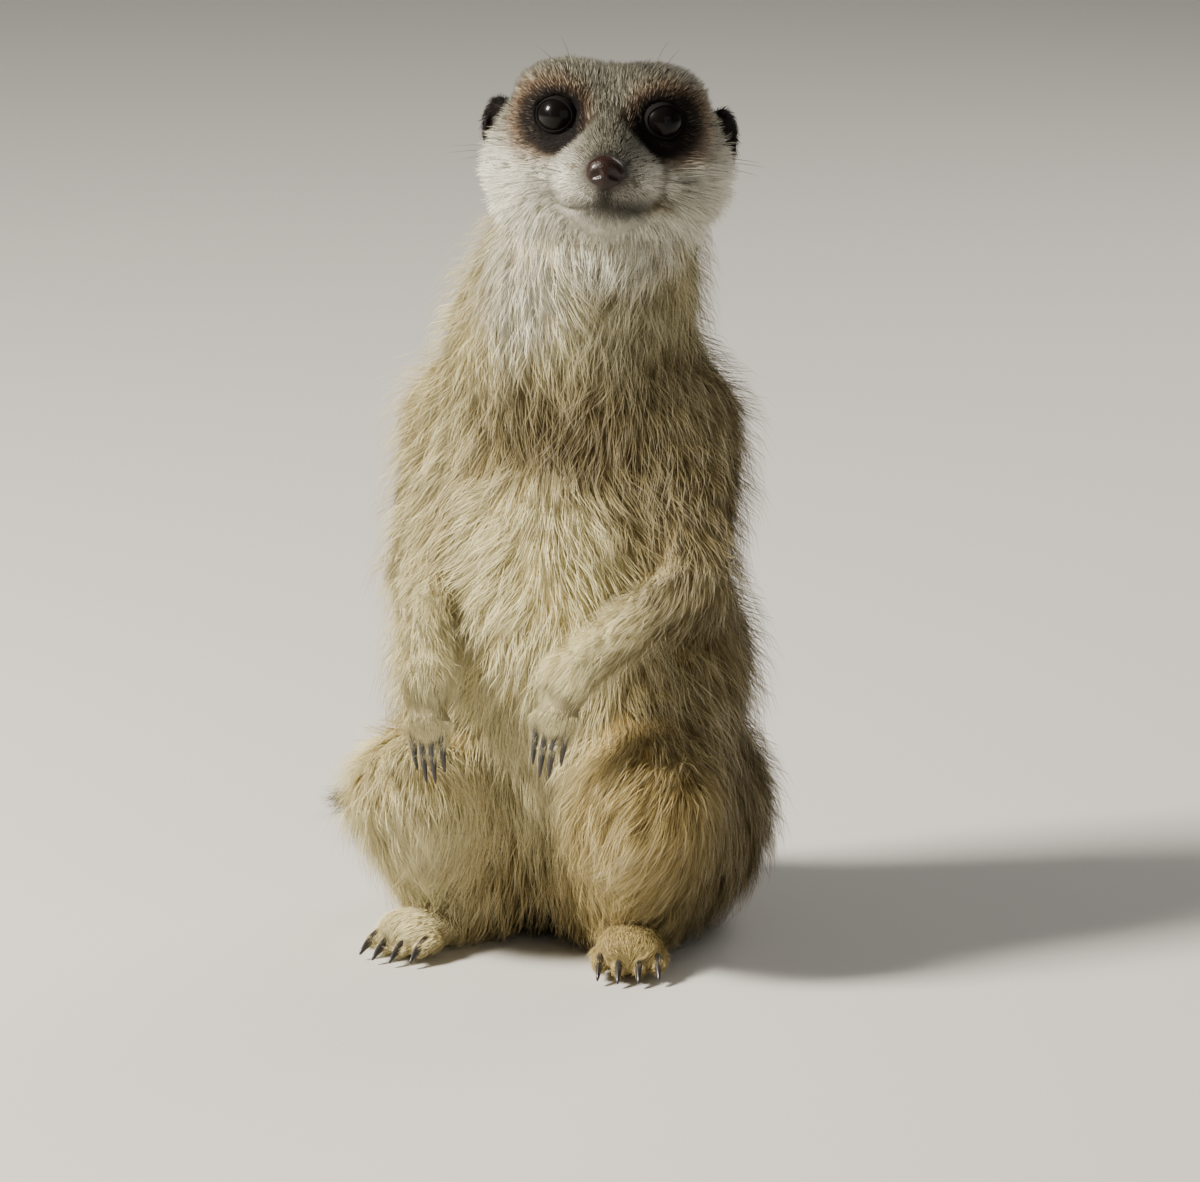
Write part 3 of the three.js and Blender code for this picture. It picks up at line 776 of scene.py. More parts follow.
# The axis about which each coat piece is unrolled, from its foot to its top
HEAD_AXIS = (vec(17, -12, 215), vec(17, -12, 266))
UNROLL = {
    "crown": HEAD_AXIS, "cheeks": HEAD_AXIS,
    "muzzle": (from_head(vec(0, -10, -12)), from_head(vec(0, -50, -12))),
    "neck": (vec(4, 2, 180), vec(12, -6, 225)), "chest": (vec(0, 9, 100), vec(0, 9, 190)),
    "belly": (vec(0, 8, 50), vec(0, 8, 110)), "rump": (vec(-2, 18, 0), vec(-2, 18, 70)),
    "arm_left": (ARMS["left"]["wrist"], ARMS["left"]["shoulder"]),
    "arm_right": (ARMS["right"]["wrist"], ARMS["right"]["shoulder"]),
    "leg_left": (vec(31, -8, 0), vec(31, -8, 80)), "leg_right": (vec(-33, -8, 0), vec(-33, -8, 80)),
    "tail": (vec(0, 0, 10), vec(0, 0, 20)),
}


def hair_faces(segments):
    """The triangles of one hair of three sides: a base, a wall for each segment and a pointed tip."""
    faces = [(0, 1, 2)]
    for a in range(3 * segments - 3):
        b = a + 1 if a % 3 < 2 else a - 2
        faces += [(b, a, a + 3), (b, a + 3, b + 3)]
    last = 3 * (segments - 1)
    faces += [(last + (j + 1) % 3, last + j, 3 * segments) for j in range(3)]
    return np.array(faces)


def hairs(root, normal, lie, length, width, lift, tip_shift, segments):
    """Closed tapering hairs. The middle line leaves the root at the angle lift from the skin and bends
    back towards it: root + length (direction t - normal bend t^2) + tip_shift t^2. The section is a
    triangle with one side outward, narrowing to a point."""
    way = unit(lie * np.cos(lift)[:, None] + normal * np.sin(lift)[:, None])
    side = unit(np.cross(way, normal))
    over = np.cross(side, way)
    t = np.append(np.arange(segments) / segments, 1.0) ** 0.9
    bend = (0.45 * np.sin(lift))[:, None] * normal
    sunk = (0.5 * np.minimum(1, length / 8))[:, None] * normal
    middle = (
        (root - sunk)[:, None]
        + length[:, None, None] * (way[:, None] * t[:, None] - bend[:, None] * t[:, None] ** 2)
        + tip_shift[:, None] * t[:, None] ** 2
    )
    angles = np.radians((30, 150, 270))
    half = 0.5 * width[:, None] * (1 - 0.55 * t[:segments] ** 1.5)
    ring = side[:, None] * np.cos(angles)[:, None] + 0.55 * over[:, None] * np.sin(angles)[:, None]
    walls = middle[:, :segments, None] + half[:, :, None, None] * ring[:, None]
    points = np.concatenate([walls.reshape(len(root), -1, 3), middle[:, -1:]], 1)
    points[..., 2] = np.maximum(points[..., 2], LOWEST_HAIR)
    along = np.broadcast_to(np.append(np.repeat(t[:segments], 3), 1.0), points.shape[:2])
    faces = hair_faces(segments)[None] + (np.arange(len(root)) * points.shape[1])[:, None, None]
    return points.reshape(-1, 3), along.reshape(-1), faces.reshape(-1, 3)


def bare(points):
    """0 where no hair grows, such as the eyes, the nose, the lips and the soles, and 1 elsewhere."""
    head = to_head(points)
    grows = ramp(points[:, 2], 0.8, 2.5)
    for eye in EYES.values():
        grows = grows * ramp(norm(head - eye), EYE_RADIUS + 0.4, EYE_RADIUS + 1.0)
    for sign in SIDES.values():
        ear = head - ear_centre(sign)
        rim = ramp(norm(ear / (4.2, 5.6, 8.6)), 0.9, 1.1)
        grows = grows * np.where(norm(ear) < 3.5, 1, rim)
    return grows * ramp(norm((head - NOSE) / (5.6, 4.6, 4.6)), 0.98, 1.12)


def near_face(points):
    """How much shorter hair is near the eyes, ears and nose: from 0.35 beside them to 1."""
    head = to_head(points)
    short = ramp(norm(head - NOSE), 3, 17)
    for eye in EYES.values():
        short = short * ramp(norm(head - eye), 5, 20)
    for sign in SIDES.values():
        ear = norm((head - ear_centre(sign)) / (1, 1, 1.3))
        short = short * (0.3 + 0.7 * ramp(ear, 7, 14))
    return 0.35 + 0.65 * short


def root_shade(length):
    """Where along the colours of a long hair a shorter one starts: short hair has little dark root. The dark
    root is partly the darker underfur and partly painted shade deep in the coat.
    """
    return 0.5 * (1 - ramp(length, 4, 15))


def unrolled(points, foot, top):
    """Each point's place on the skin unrolled about an axis: its angle round it and its height along."""
    axis = unit(top - foot)
    first = unit(np.cross(axis, vec(0.3, 1, 0.2)))
    second = np.cross(axis, first)
    q = points - foot
    angle = np.arctan2(q @ second, q @ first) / (2 * np.pi) + 0.5
    height = q @ axis
    height = (height - height.min()) / max(np.ptp(height), 1e-6)
    return 0.01 + 0.98 * np.stack([angle, height], 1)


def grow_coat(piece, skin, most_triangles, axis, settings, material, segments=1):
    """One piece of the coat on one stretch of skin: roots scattered by area, locks that share their lie,
    and closed hairs, the long ones with a segment more."""
    rng = np.random.default_rng(sum(map(ord, piece)))
    faces = skin.quads
    corners = skin.points[faces]
    area = norm(np.cross(corners[:, 2] - corners[:, 0], corners[:, 3] - corners[:, 1])) / 2
    wish = area * skin.coat[faces, DENSITY].mean(1) * bare(corners.mean(1)) * settings.fullness
    long_share = settings.guard_share * (1 - 0.5 * skin.stand[faces].mean())
    most = most_triangles / (6 * segments - 2 + 6 * long_share)
    count = wish * min(1.0, most / max(wish.sum(), 1))
    which = np.repeat(np.arange(len(faces)), np.floor(count + rng.random(len(count))).astype(int))
    s, t = rng.random((2, len(which)))
    share = np.stack([(1 - s) * (1 - t), s * (1 - t), s * t, (1 - s) * t], 1)[:, :, None]

    def mixed(values):
        """The values at the roots, from those at the four corners round each."""
        return (values[faces[which]].reshape(len(which), 4, -1) * share).sum(1)

    root, normal, flow = mixed(skin.points), unit(mixed(skin.normals)), mixed(skin.flow)
    coat, tone = Coat(*mixed(skin.coat).T), mixed(skin.tone)
    grizzle, stand = mixed(skin.grizzle)[:, 0], mixed(skin.stand)[:, 0]
    short = near_face(root)

    # A lock is the hairs with their roots in one cell of a warped grid
    warp = np.stack([noise(root, 9, 7 + k) for k in range(3)], 1) * 1.6
    cells = np.floor((root + warp) / np.maximum(np.round(coat.lock * 2) / 2, 1)[:, None]).astype(int)
    lock_of = np.unique(cells, axis=0, return_inverse=True)[1].ravel()
    locks = lock_of.max() + 1
    turn = 0.24 * rng.normal(size=locks)[lock_of] + 0.20 * noise(root, 30, 3)
    turn = turn + 0.13 * rng.normal(size=len(root))
    turn = turn * (0.35 + 0.65 * short) * np.clip(coat.length / 13, 0.3, 1)
    flow = tangent(flow, normal)
    lie = flow * np.cos(turn)[:, None] + np.cross(normal, flow) * np.sin(turn)[:, None]
    luck = rng.random(len(root))
    guard = (luck > 1 - settings.guard_share * (1 - 0.5 * stand)) & (coat.length > GUARD_COAT)
    length = coat.length * short * (0.7 + 0.5 * rng.random(len(root)))
    length = length * np.where(guard, GUARD_LENGTH + STANDING_LENGTH * stand, 1.0)
    lift = coat.lift * (1 + 0.35 * rng.normal(size=locks)[lock_of] + 0.3 * rng.normal(size=len(root)))
    lift = lift * np.where(guard, GUARD_LIFT + STANDING_LIFT * stand, 1.0)
    lift = np.clip(lift, 0.05, 1.0 + 0.15 * stand)
    width = coat.width * (0.8 + 0.4 * rng.random(len(root))) * np.where(guard, GUARD_WIDTH, 1.0)

    # The tips of a lock are drawn towards their middle
    ends = root + unit(lie + normal * np.tan(lift)[:, None]) * length[:, None] * 0.9
    number = np.maximum(np.bincount(lock_of, minlength=locks), 1)[:, None]
    gathered = np.stack([np.bincount(lock_of, ends[:, k], locks) for k in range(3)], 1) / number
    pull = coat.pull * (0.6 + 0.8 * rng.random(locks)[lock_of])
    tip_shift = (gathered[lock_of] - ends) * pull[:, None]

    tone = tone * (1 + settings.variety * (rng.random(len(root))[:, None] - 0.5))
    tone = tone * (1 + 0.5 * settings.variety * (rng.random(locks)[lock_of][:, None] - 0.5))
    place = unrolled(root, *axis)
    shapes, alongs, chosen = [], [], []
    for kind, pieces in ((np.flatnonzero(~guard), segments), (np.flatnonzero(guard), segments + 1)):
        if len(kind):
            given = (values[kind] for values in (root, normal, lie, length, width, lift, tip_shift))
            points, along, triangles = hairs(*given, pieces)
            shapes.append((points, triangles))
            alongs.append(along)
            chosen.append(np.stack(np.broadcast_arrays(kind[:, None], np.arange(3 * pieces + 1) % 3), -1))
    points, triangles = joined(shapes)
    along = np.concatenate(alongs)
    hair, corner = np.concatenate([part.reshape(-1, 2) for part in chosen]).T

    obj = new_object(f"coat_{piece}", points, triangles)
    give(obj, "tone", tone[hair])
    bare_root = root_shade(coat.length)[hair]
    give(obj, "along", bare_root + (1 - bare_root) * along)
    give(obj, "luck", luck[hair])
    give(obj, "grizzle", grizzle[hair])
    uv = place[hair] + PATCH * (np.stack([corner / 3, along], 1) - 0.5)
    layer = obj.data.uv_layers.new(name="OFBake")
    layer.data.foreach_set("uv", uv[triangles.ravel()].astype(np.float32).ravel())
    finish_piece(obj, material, SLOTS.get(piece, "coat"))
    return len(triangles)


# ---- Materials ----
def plug(tree, socket, value):
    """Links a socket to the output given, or sets its value."""
    if isinstance(value, bpy.types.NodeSocket):
        tree.links.new(value, socket)
    else:
        socket.default_value = value


def node(tree, kind, **values):
    """A shader node. A name with a capital is a socket, a number after an underscore is a socket's place,
    and a name in lower case is a setting of the node."""
    made = tree.nodes.new(kind)
    for name, value in values.items():
        if name[0] == "_":
            plug(tree, made.inputs[int(name[1:])], value)
        elif name[0].isupper():
            plug(tree, made.inputs[name.replace("_", " ")], value)
        else:
            setattr(made, name, value)
    return made


def maths(tree, operation, a, b, clamp=False):
    """The result of one sum."""
    return node(tree, "ShaderNodeMath", operation=operation, use_clamp=clamp, _0=a, _1=b).outputs[0]


def mixed_colour(tree, factor, a, b, blend="MIX"):
    """One colour laid over another."""
    made = node(tree, "ShaderNodeMix", data_type="RGBA", blend_type=blend, _0=factor, _6=a, _7=b)
    return made.outputs[2]


def stepped(tree, value, start, end):
    """0 at start, 1 at end, a smooth rise between."""
    made = node(tree, "ShaderNodeMapRange", interpolation_type="SMOOTHSTEP", _0=value, _1=start, _2=end)
    return made.outputs[0]


# The marks that a furred mesh carries, and the output of an attribute node that reads each
HAIR_MARKS = {"Tone": "Color", "Along": "Fac", "Luck": "Fac", "Grizzle": "Fac"}


def hair_bands_group():
    """The colour along a hair: a dark root, partly the darker underfur and partly painted shade deep in the
    coat, the tone of its place, and on ringed hair a dark band and a pale one before the tip."""
    if "Hair bands" in bpy.data.node_groups:
        return bpy.data.node_groups["Hair bands"]
    tree = bpy.data.node_groups.new("Hair bands", "ShaderNodeTree")
    for name, output in HAIR_MARKS.items():
        kind = "NodeSocketColor" if output == "Color" else "NodeSocketFloat"
        tree.interface.new_socket(name, in_out="INPUT", socket_type=kind)
    tree.interface.new_socket("Color", in_out="OUTPUT", socket_type="NodeSocketColor")
    tone, along, luck, grizzle = list(tree.nodes.new("NodeGroupInput").outputs)[:4]
    # The root's colour: the underfur's own darker tint and painted shade deep in the coat, darker still on
    # ringed hair.
    under = mixed_colour(tree, maths(tree, "MULTIPLY", grizzle, 1.3, clamp=True),
                         (0.66, 0.58, 0.42, 1), (0.30, 0.22, 0.13, 1))
    root = mixed_colour(tree, 1.0, tone, under, "MULTIPLY")
    colour = mixed_colour(tree, stepped(tree, along, 0.0, 0.45), root, tone)
    pale = maths(tree, "MULTIPLY", stepped(tree, luck, 0.78, 0.86), stepped(tree, along, 0.5, 0.8))
    pale = maths(tree, "MULTIPLY", pale, maths(tree, "MULTIPLY", grizzle, 1.2, clamp=True))
    colour = mixed_colour(tree, pale, colour, (0.84, 0.76, 0.58, 1))
    band = maths(tree, "MULTIPLY", stepped(tree, along, 0.42, 0.55), stepped(tree, along, 0.88, 0.74))
    chance = maths(tree, "SUBTRACT", maths(tree, "MULTIPLY", grizzle, 0.6), luck)
    ringed = stepped(tree, chance, -0.08, 0.05)
    dark = mixed_colour(tree, 1.0, tone, (0.18, 0.15, 0.12, 1), "MULTIPLY")
    colour = mixed_colour(tree, maths(tree, "MULTIPLY", band, ringed), colour, dark)
    tree.links.new(colour, tree.nodes.new("NodeGroupOutput").inputs["Color"])
    return tree


def plain_material(name, colour, roughness, coat=0.0, specular=0.5):
    """A material with one colour all over."""
    material = bpy.data.materials.new(name)
    material.use_nodes = True
    sockets = material.node_tree.nodes["Principled BSDF"].inputs
    for socket, value in (("Base Color", (*colour, 1)), ("Roughness", roughness), ("Coat Weight", coat),
                          ("Coat Roughness", 0.03), ("Specular IOR Level", specular)):
        sockets[socket].default_value = value
    return material


def give_relief(material, kind, output, strength, distance, **settings):
    """Fine relief from a texture in the object's own space."""
    tree = material.node_tree
    place = node(tree, "ShaderNodeTexCoord").outputs["Object"]
    height = node(tree, kind, Vector=place, **settings).outputs[output]
    bump = node(tree, "ShaderNodeBump", Height=height, Strength=strength, Distance=distance)
    tree.links.new(bump.outputs["Normal"], tree.nodes["Principled BSDF"].inputs["Normal"])


def banded_material(name, roughness):
    """Fur or furred skin, coloured by the marks that its mesh carries."""
    material = plain_material(name, (0.5, 0.4, 0.3), roughness, specular=0.15)
    tree = material.node_tree
    group = node(tree, "ShaderNodeGroup", node_tree=hair_bands_group())
    for mark, output in HAIR_MARKS.items():
        attribute = node(tree, "ShaderNodeAttribute", attribute_name=mark.lower())
        tree.links.new(attribute.outputs[output], group.inputs[mark])
    tree.links.new(group.outputs["Color"], tree.nodes["Principled BSDF"].inputs["Base Color"])
    return material


def fur_material():
    """The one material of all the hair."""
    return bpy.data.materials.get("fur") or banded_material("fur", 0.6)


def eye_material(settings):
    """A brown iris darkening to its rim, about a wide black pupil, under a clear wet coat."""
    material = plain_material("eye", settings.iris, 0.3, coat=1.0, specular=0.05)
    tree = material.node_tree
    shader = tree.nodes["Principled BSDF"]
    shader.inputs["Coat IOR"].default_value = 1.18
    pupil, iris = (node(tree, "ShaderNodeAttribute", attribute_name=name).outputs["Fac"]
                   for name in ("pupil", "iris"))
    black = (0.004, 0.003, 0.003, 1)
    colour = mixed_colour(tree, stepped(tree, iris, 0.62, 1.0), (*settings.iris, 1), black)
    colour = mixed_colour(tree, stepped(tree, pupil, 1.08, 0.92), colour, black)
    tree.links.new(colour, shader.inputs["Base Color"])
    return material


# ---- Eyes, lids, ears, nose, whiskers and claws ----
# How far round the eye, in radians, the iris ends, and half the pupil's width and height
IRIS_END = 0.80
PUPIL_WIDTH, PUPIL_HEIGHT = 0.34, 0.27
# The opening of the lids: half its width, its height above and below the axis of sight, and how square
# it is (2 is an oval, less draws out the corners)
LID_WIDTH, LID_ABOVE, LID_BELOW = np.radians((56, 42, 48))
LID_POWER = 1.9
LID_EDGE = np.radians(7)
# Length, root radius, tip radius and bend of the claws
HAND_CLAW = (13.0, 1.55, 0.4, 26.0)
FOOT_CLAW = (10.5, 1.8, 0.45, 34.0)


def eye_axes(side):
    """The direction in which an eye looks, and the two across it, in the head's frame."""
    look = unit(vec(SIDES[side] * 0.34, -0.93, 0.08))
    across = unit(np.cross(vec(0, 0, 1), look))
    return look, across, np.cross(look, across)


def make_eyeball(side, material):
    """A sphere about the axis of sight with a bulge in front: each ring is at an angle from the axis, and
    carries that angle and its place across the pupil."""
    look, across, up = eye_axes(side)
    rings, spokes = 40, 48
    a, b = np.meshgrid(np.pi * np.arange(rings + 1) / rings, circle(spokes), indexing="ij")
    x, y = np.sin(a) * np.cos(b), np.sin(a) * np.sin(b)
    bulge = 1 + 0.035 * np.exp(-((a / 0.5) ** 2))
    points = bulge[..., None] * (np.cos(a)[..., None] * look + x[..., None] * across + y[..., None] * up)
    points = EYES[side] + EYE_RADIUS * points.reshape(-1, 3)
    faces = triangles_of(grid_faces(rings + 1, spokes))[:, ::-1]
    obj = new_object(f"eyeball_{side}", from_head(points), faces)
    behind = 4 * (a.ravel() > 1.5)
    give(obj, "pupil", np.hypot(x / PUPIL_WIDTH, y / PUPIL_HEIGHT).ravel() + behind)
    give(obj, "iris", (a / IRIS_END).ravel())
    finish_piece(obj, material, "eye", f"eye_{side}")


def make_lids(side, material):
    """The lids: a cap of a sphere a little larger than the eye, open in an almond. Each ring goes from
    the rounded edge of the opening back into the socket; the opening is wider than it is high and its
    corners are drawn out."""
    look, across, up = eye_axes(side)
    spokes, rings = 72, 12
    spin = circle(spokes)
    high = np.where(np.sin(spin) > 0, LID_ABOVE, LID_BELOW)
    opening = (np.abs(np.cos(spin)) / LID_WIDTH) ** LID_POWER + (np.abs(np.sin(spin)) / high) ** LID_POWER
    opening = opening ** (-1 / LID_POWER)
    s = np.arange(rings)[:, None] / (rings - 1)
    edge = LID_EDGE * np.minimum(s * 4, 1)
    angle = opening + np.where(s < 0.25, -np.sin(np.pi * s * 2) * 0.02, edge - LID_EDGE)
    angle = angle + 0.75 * np.maximum(s - 0.25, 0)
    swell = 1.012 + 0.05 * np.sin(np.pi / 2 * np.minimum(s * 3, 1))
    radius = np.broadcast_to(EYE_RADIUS * swell + 0.2 * np.maximum(s - 0.3, 0), angle.shape)
    direction = (np.cos(angle)[..., None] * look + np.sin(angle)[..., None]
                 * (np.cos(spin)[:, None] * across + np.sin(spin)[:, None] * up))
    outer = EYES[side] + radius[..., None] * direction
    inner = EYES[side] + (EYE_RADIUS * 1.006) * direction
    points = np.concatenate([outer, inner[::-1][:-1]]).reshape(-1, 3)
    rows = 2 * rings - 1
    first, last = np.arange(spokes), (rows - 1) * spokes + np.arange(spokes)
    seam = np.stack([last, np.roll(last, -1), np.roll(first, -1), first], 1)
    faces = np.concatenate([grid_faces(rows, spokes), seam])
    obj = new_object(f"lids_{side}", from_head(points), triangles_of(faces)[:, ::-1])
    finish_piece(obj, material, "dark_fur")


def surface_on_head(field, centre, reach, cell):
    """The surface of a field round a place in the head's frame: its points and outward directions in the
    world, and its quads."""
    axes = [np.arange(c - reach, c + reach + cell, cell) for c in centre]
    points, quads = net_of(field(np.stack(np.meshgrid(*axes, indexing="ij"), -1)), axes)
    points, normals = settle(field, points, 0.05, 0.3)
    return from_head(points), normals @ HEAD_TURN.T, quads


def nose_field(points):
    """The nose leather: a low ball with a flat front, a groove down its middle, and two comma-shaped
    nostrils that open forward and to the sides."""
    field = melt(Ball(NOSE + vec(0, 0.6, 1.1), (4.9, 4.2, 4.2)).distance(points),
                 Ball(NOSE + vec(0, 0.6, -1.8), (3.6, 3.3, 3.0)).distance(points), 2.5)
    for sign in SIDES.values():
        field = melt(field, Ball(NOSE + vec(sign * 2.9, 0.8, 0.2), (2.4, 3.2, 2.9)).distance(points), 1.6)
    for sign in SIDES.values():
        start, end = NOSE + vec(sign * 2.3, -3.8, 0.1), NOSE + vec(sign * 4.0, -2.8, -0.8)
        field = hollow(field, Limb(start, end, 1.45, 1.0).distance(points), 0.5)
        field = hollow(field, Limb(end, end + vec(sign * 1.6, 1.6, 0.6), 0.55, 0.3).distance(points), 0.4)
    groove = Limb(NOSE + vec(0, -4.3, -0.6), NOSE + vec(0, -3.4, -5.6), 0.4, 0.45)
    return hollow(field, groove.distance(points), 0.6)


def ear_centre(sign):
    """The middle of an ear, in the head's frame."""
    return vec(sign * 31.8, 3.4, 0.2)


def ear_field(sign):
    """An ear: a low shell with a rolled rim, hollow in front, with a ridge inside it."""
    centre = ear_centre(sign)

    def field(points):
        shell = Ball(centre, (4.5, 5.9, 9.2)).distance(points)
        bowl = Ball(centre + vec(sign * 2.1, -4.6, 0), (2.9, 4.3, 5.6)).distance(points)
        ridge = Limb(centre + vec(sign * 0.2, -3.2, -3.4), centre + vec(sign * 1.4, -1.4, 2.6), 1.1, 0.7)
        return melt(hollow(shell, bowl, 1.4), ridge.distance(points), 1.0)

    return field


def make_ear(side, skin_colour, fur, settings):
    """An ear and the short dark hair on it, which lies back and down past its rim."""
    sign = SIDES[side]
    centre = ear_centre(sign)
    points, normals, quads = surface_on_head(ear_field(sign), centre, 10, 0.45)
    obj = new_object(f"ear_shell_{side}", points, triangles_of(quads))
    finish_piece(obj, skin_colour, "dark_fur", f"ear_{side}")
    back_and_down = vec(sign * 0.5, 0.6, -1.0) @ HEAD_TURN.T
    flow = tangent(back_and_down + 0.6 * unit(points - from_head(centre)), normals)
    row, none = np.ones((len(points), 1)), np.zeros(len(points))
    tone, coat = row * np.array(PALETTE["umber"][0]), row * np.array(COATS["ear"])
    ground = Skin(points, normals, quads, None, coat, flow, tone, none, none)
    axis = (from_head(centre - vec(0, 0, 8)), from_head(centre + vec(0, 0, 8)))
    grow_coat(f"ear_{side}", ground, EAR_TRIANGLES, axis, settings, fur, segments=2)


def hair_tube(path, radii, sides=6):
    """A round closed tube about a line of points."""
    way = unit(np.gradient(path, axis=0))
    side = unit(np.cross(way, vec(0.31, 0.2, 0.93)))
    over = np.cross(way, side)
    spin = circle(sides)
    ring = side[:, None] * np.cos(spin)[:, None] + over[:, None] * np.sin(spin)[:, None]
    return closed_tube(path, radii[:, None, None] * ring)


WHISKER_STEPS = np.linspace(0, 1, 9)


def whisker_paths(settings):
    """The whiskers: rows on the pads of the muzzle, a few on each cheek and over each eye, swept back and
    drooping."""
    rng = np.random.default_rng(77)
    t = WHISKER_STEPS[:, None]
    for sign in SIDES.values():
        for row in range(3):
            for column in range(3):
                root = vec(sign * (9.2 + 1.2 * column), -38.5 + 3.4 * column, -8.2 - 1.9 * row + 0.3 * column)
                length = settings.whisker_length / MM * rng.uniform(0.5, 1.0) * (0.6 + 0.13 * column)
                way = unit(vec(sign, 0.12 + 0.16 * column, 0.28 - 0.2 * row) + 0.12 * rng.normal(size=3))
                droop = vec(sign * 0.1, 0.32, -0.16 - 0.12 * rng.random())
                yield from_head(root + length * (way * t + droop * t**2))
        for k in range(3):
            root = vec(sign * 31, -8 + 2 * k, -3.5 - 1.5 * k)
            way = unit(vec(sign, 0.1, 0.1 - 0.1 * k) + 0.08 * rng.normal(size=3))
            yield from_head(root + rng.uniform(12, 17) * (way * t + vec(0, 0.2, -0.1) * t**2))
        for k in range(2):
            root = vec(sign * (11.5 + 2.2 * k), -17.5 + 1.2 * k, 19.5 - 0.4 * k)
            way = unit(vec(sign * (0.25 + 0.2 * k), -0.1, 1.0) + 0.1 * rng.normal(size=3))
            yield from_head(root + rng.uniform(8, 12) * (way * t + vec(sign * 0.2, 0.35, -0.1) * t**2))


def claw(root, direction, below, length, radius, tip, bend):
    """A claw: an arc that turns by bend towards below, with an oval section that narrows to its tip."""
    side = unit(np.cross(below, direction))
    under = -np.cross(side, direction)
    t = np.linspace(-0.12, 1, 15)  # it starts a little inside the toe
    angle = np.radians(bend) * t
    forward, downward = np.sin(angle)[:, None], (1 - np.cos(angle))[:, None]
    path = root + (length / np.radians(bend)) * (forward * direction + downward * under)
    over = -forward * direction + np.cos(angle)[:, None] * under
    r = radius + (tip - radius) * np.clip(t, 0, 1) ** 1.5
    r = r * np.sqrt(np.clip((1.02 - t) / 0.06, 0.05, 1))
    spin = circle(12)
    lobe = np.where(np.sin(spin) > 0, 0.95, 1.1)
    ring = 0.78 * side * np.cos(spin)[:, None] + over[:, None] * (lobe * np.sin(spin))[:, None]
    return closed_tube(path, r[:, None, None] * ring)


def paw_claws(limb, side):
    """The four claws of a paw, from the ends of its digits."""
    below, sunk, shift, size = {
        "hand": (vec(0, 1, 0), 2, vec(0, -0.4, 0), HAND_CLAW),
        "foot": (vec(0, 0, -1), 2.2, vec(0, 0, 1.2), FOOT_CLAW),
    }[limb]
    for start, end in digits(limb, side):
        way = unit(end - start)
        yield claw(end - sunk * way + shift, way, below, *size)


# ---- Add-on: settings, operators and panel ----
def colour(label, text, default):
    """A colour setting."""
    return FloatVectorProperty(name=label, description=text, subtype="COLOR", size=3, default=default)


def number(label, text, default, subtype="NONE", unit="NONE"):
    """A number setting."""
    return FloatProperty(name=label, description=text, subtype=subtype, unit=unit, default=default)


def length(label, text, default):
    """A length in metres."""
    return number(label, text, default, "DISTANCE", "LENGTH")


class MeerkatPalette(PropertyGroup):
    """The colours of the coat."""

    __annotations__ = {key: colour(key.capitalize(), text, rgb) for key, (rgb, text) in PALETTE.items()}


class MeerkatSkin(PropertyGroup):
    """How finely the skin is worked out."""

    fine_cell: length("Fine cell", "Grid step at the head and paws", 0.0009)
    coarse_cell: length("Coarse cell", "Grid step elsewhere", 0.0021)


class MeerkatCoat(PropertyGroup):
    """The coat."""

    fullness: number("Fullness", "Hairs grown against the usual number", 1.0)
    guard_share: number("Guard hairs", "Share of the hairs that stand longer", 0.18, "FACTOR")
    variety: number("Variety", "How much hairs differ in lightness", 0.35, "FACTOR")


class MeerkatFace(PropertyGroup):
    """The bare parts of the head."""

    iris: colour("Iris", "Colour of the iris", (0.004, 0.003, 0.0025))
    leather: colour("Nose", "Colour of the nose leather", (0.016, 0.0065, 0.0045))
    lid: colour("Lids", "Colour of the lids", (0.007, 0.006, 0.006))
    whisker_length: length("Whiskers", "Longest whisker", 0.034)


class MeerkatClaws(PropertyGroup):
    """The claws."""

    horn: colour("Horn", "Colour of the claws", (0.030, 0.026, 0.026))


class MeerkatStage(PropertyGroup):
    """Floor, light and camera."""

    floor: colour("Floor", "Colour of the floor", (0.60, 0.585, 0.55))
    key: number("Key light", "Power of the main light", 118.0, "POWER", "POWER")
    fill: number("Fill light", "Power of the light opposite", 4.0, "POWER", "POWER")
    azimuth: number("Camera azimuth", "Camera's turn from the front", np.radians(18.0), "ANGLE", "ROTATION")
    elevation: number("Camera elevation", "Camera's angle above the level", np.radians(12.0), "ANGLE",
                      "ROTATION")
    distance: length("Camera distance", "From the camera to the middle of the body", 1.9)
    lens: number("Lens", "Focal length in millimetres", 195.0)


class MEERKAT_OT_skin(Operator):
    """One skin for the whole body"""

    bl_idname = "meerkat.skin"
    bl_label = "Skin"

    def execute(self, context):
        skin = skin_store["skin"] = make_skin(context.scene.meerkat_skin)
        obj = new_object("skin", skin.points, skin.quads)
        # Painted shade under the coat: the skin takes the coat's tone darkened to 0.8, and the colours near a
        # hair's dark root.
        give(obj, "tone", 0.8 * skin.tone)
        give(obj, "grizzle", skin.grizzle)
        give(obj, "along", 0.12 + root_shade(Coat(*skin.coat.T).length))
        material = banded_material("furred skin", 0.85)
        give_relief(material, "ShaderNodeTexNoise", "Fac", 0.5, 0.0004, Scale=900.0, Detail=2.0)
        limbs = [f"{name}_{side}" for side in SIDES
                 for name in ("upper_arm", "forearm", "hand", "thigh", "shin", "foot")]
        finish_piece(obj, material, "coat", "head", "neck", "chest", "belly", *limbs,
                     "tail_base", "tail_middle", "tail_tip")
        return {"FINISHED"}


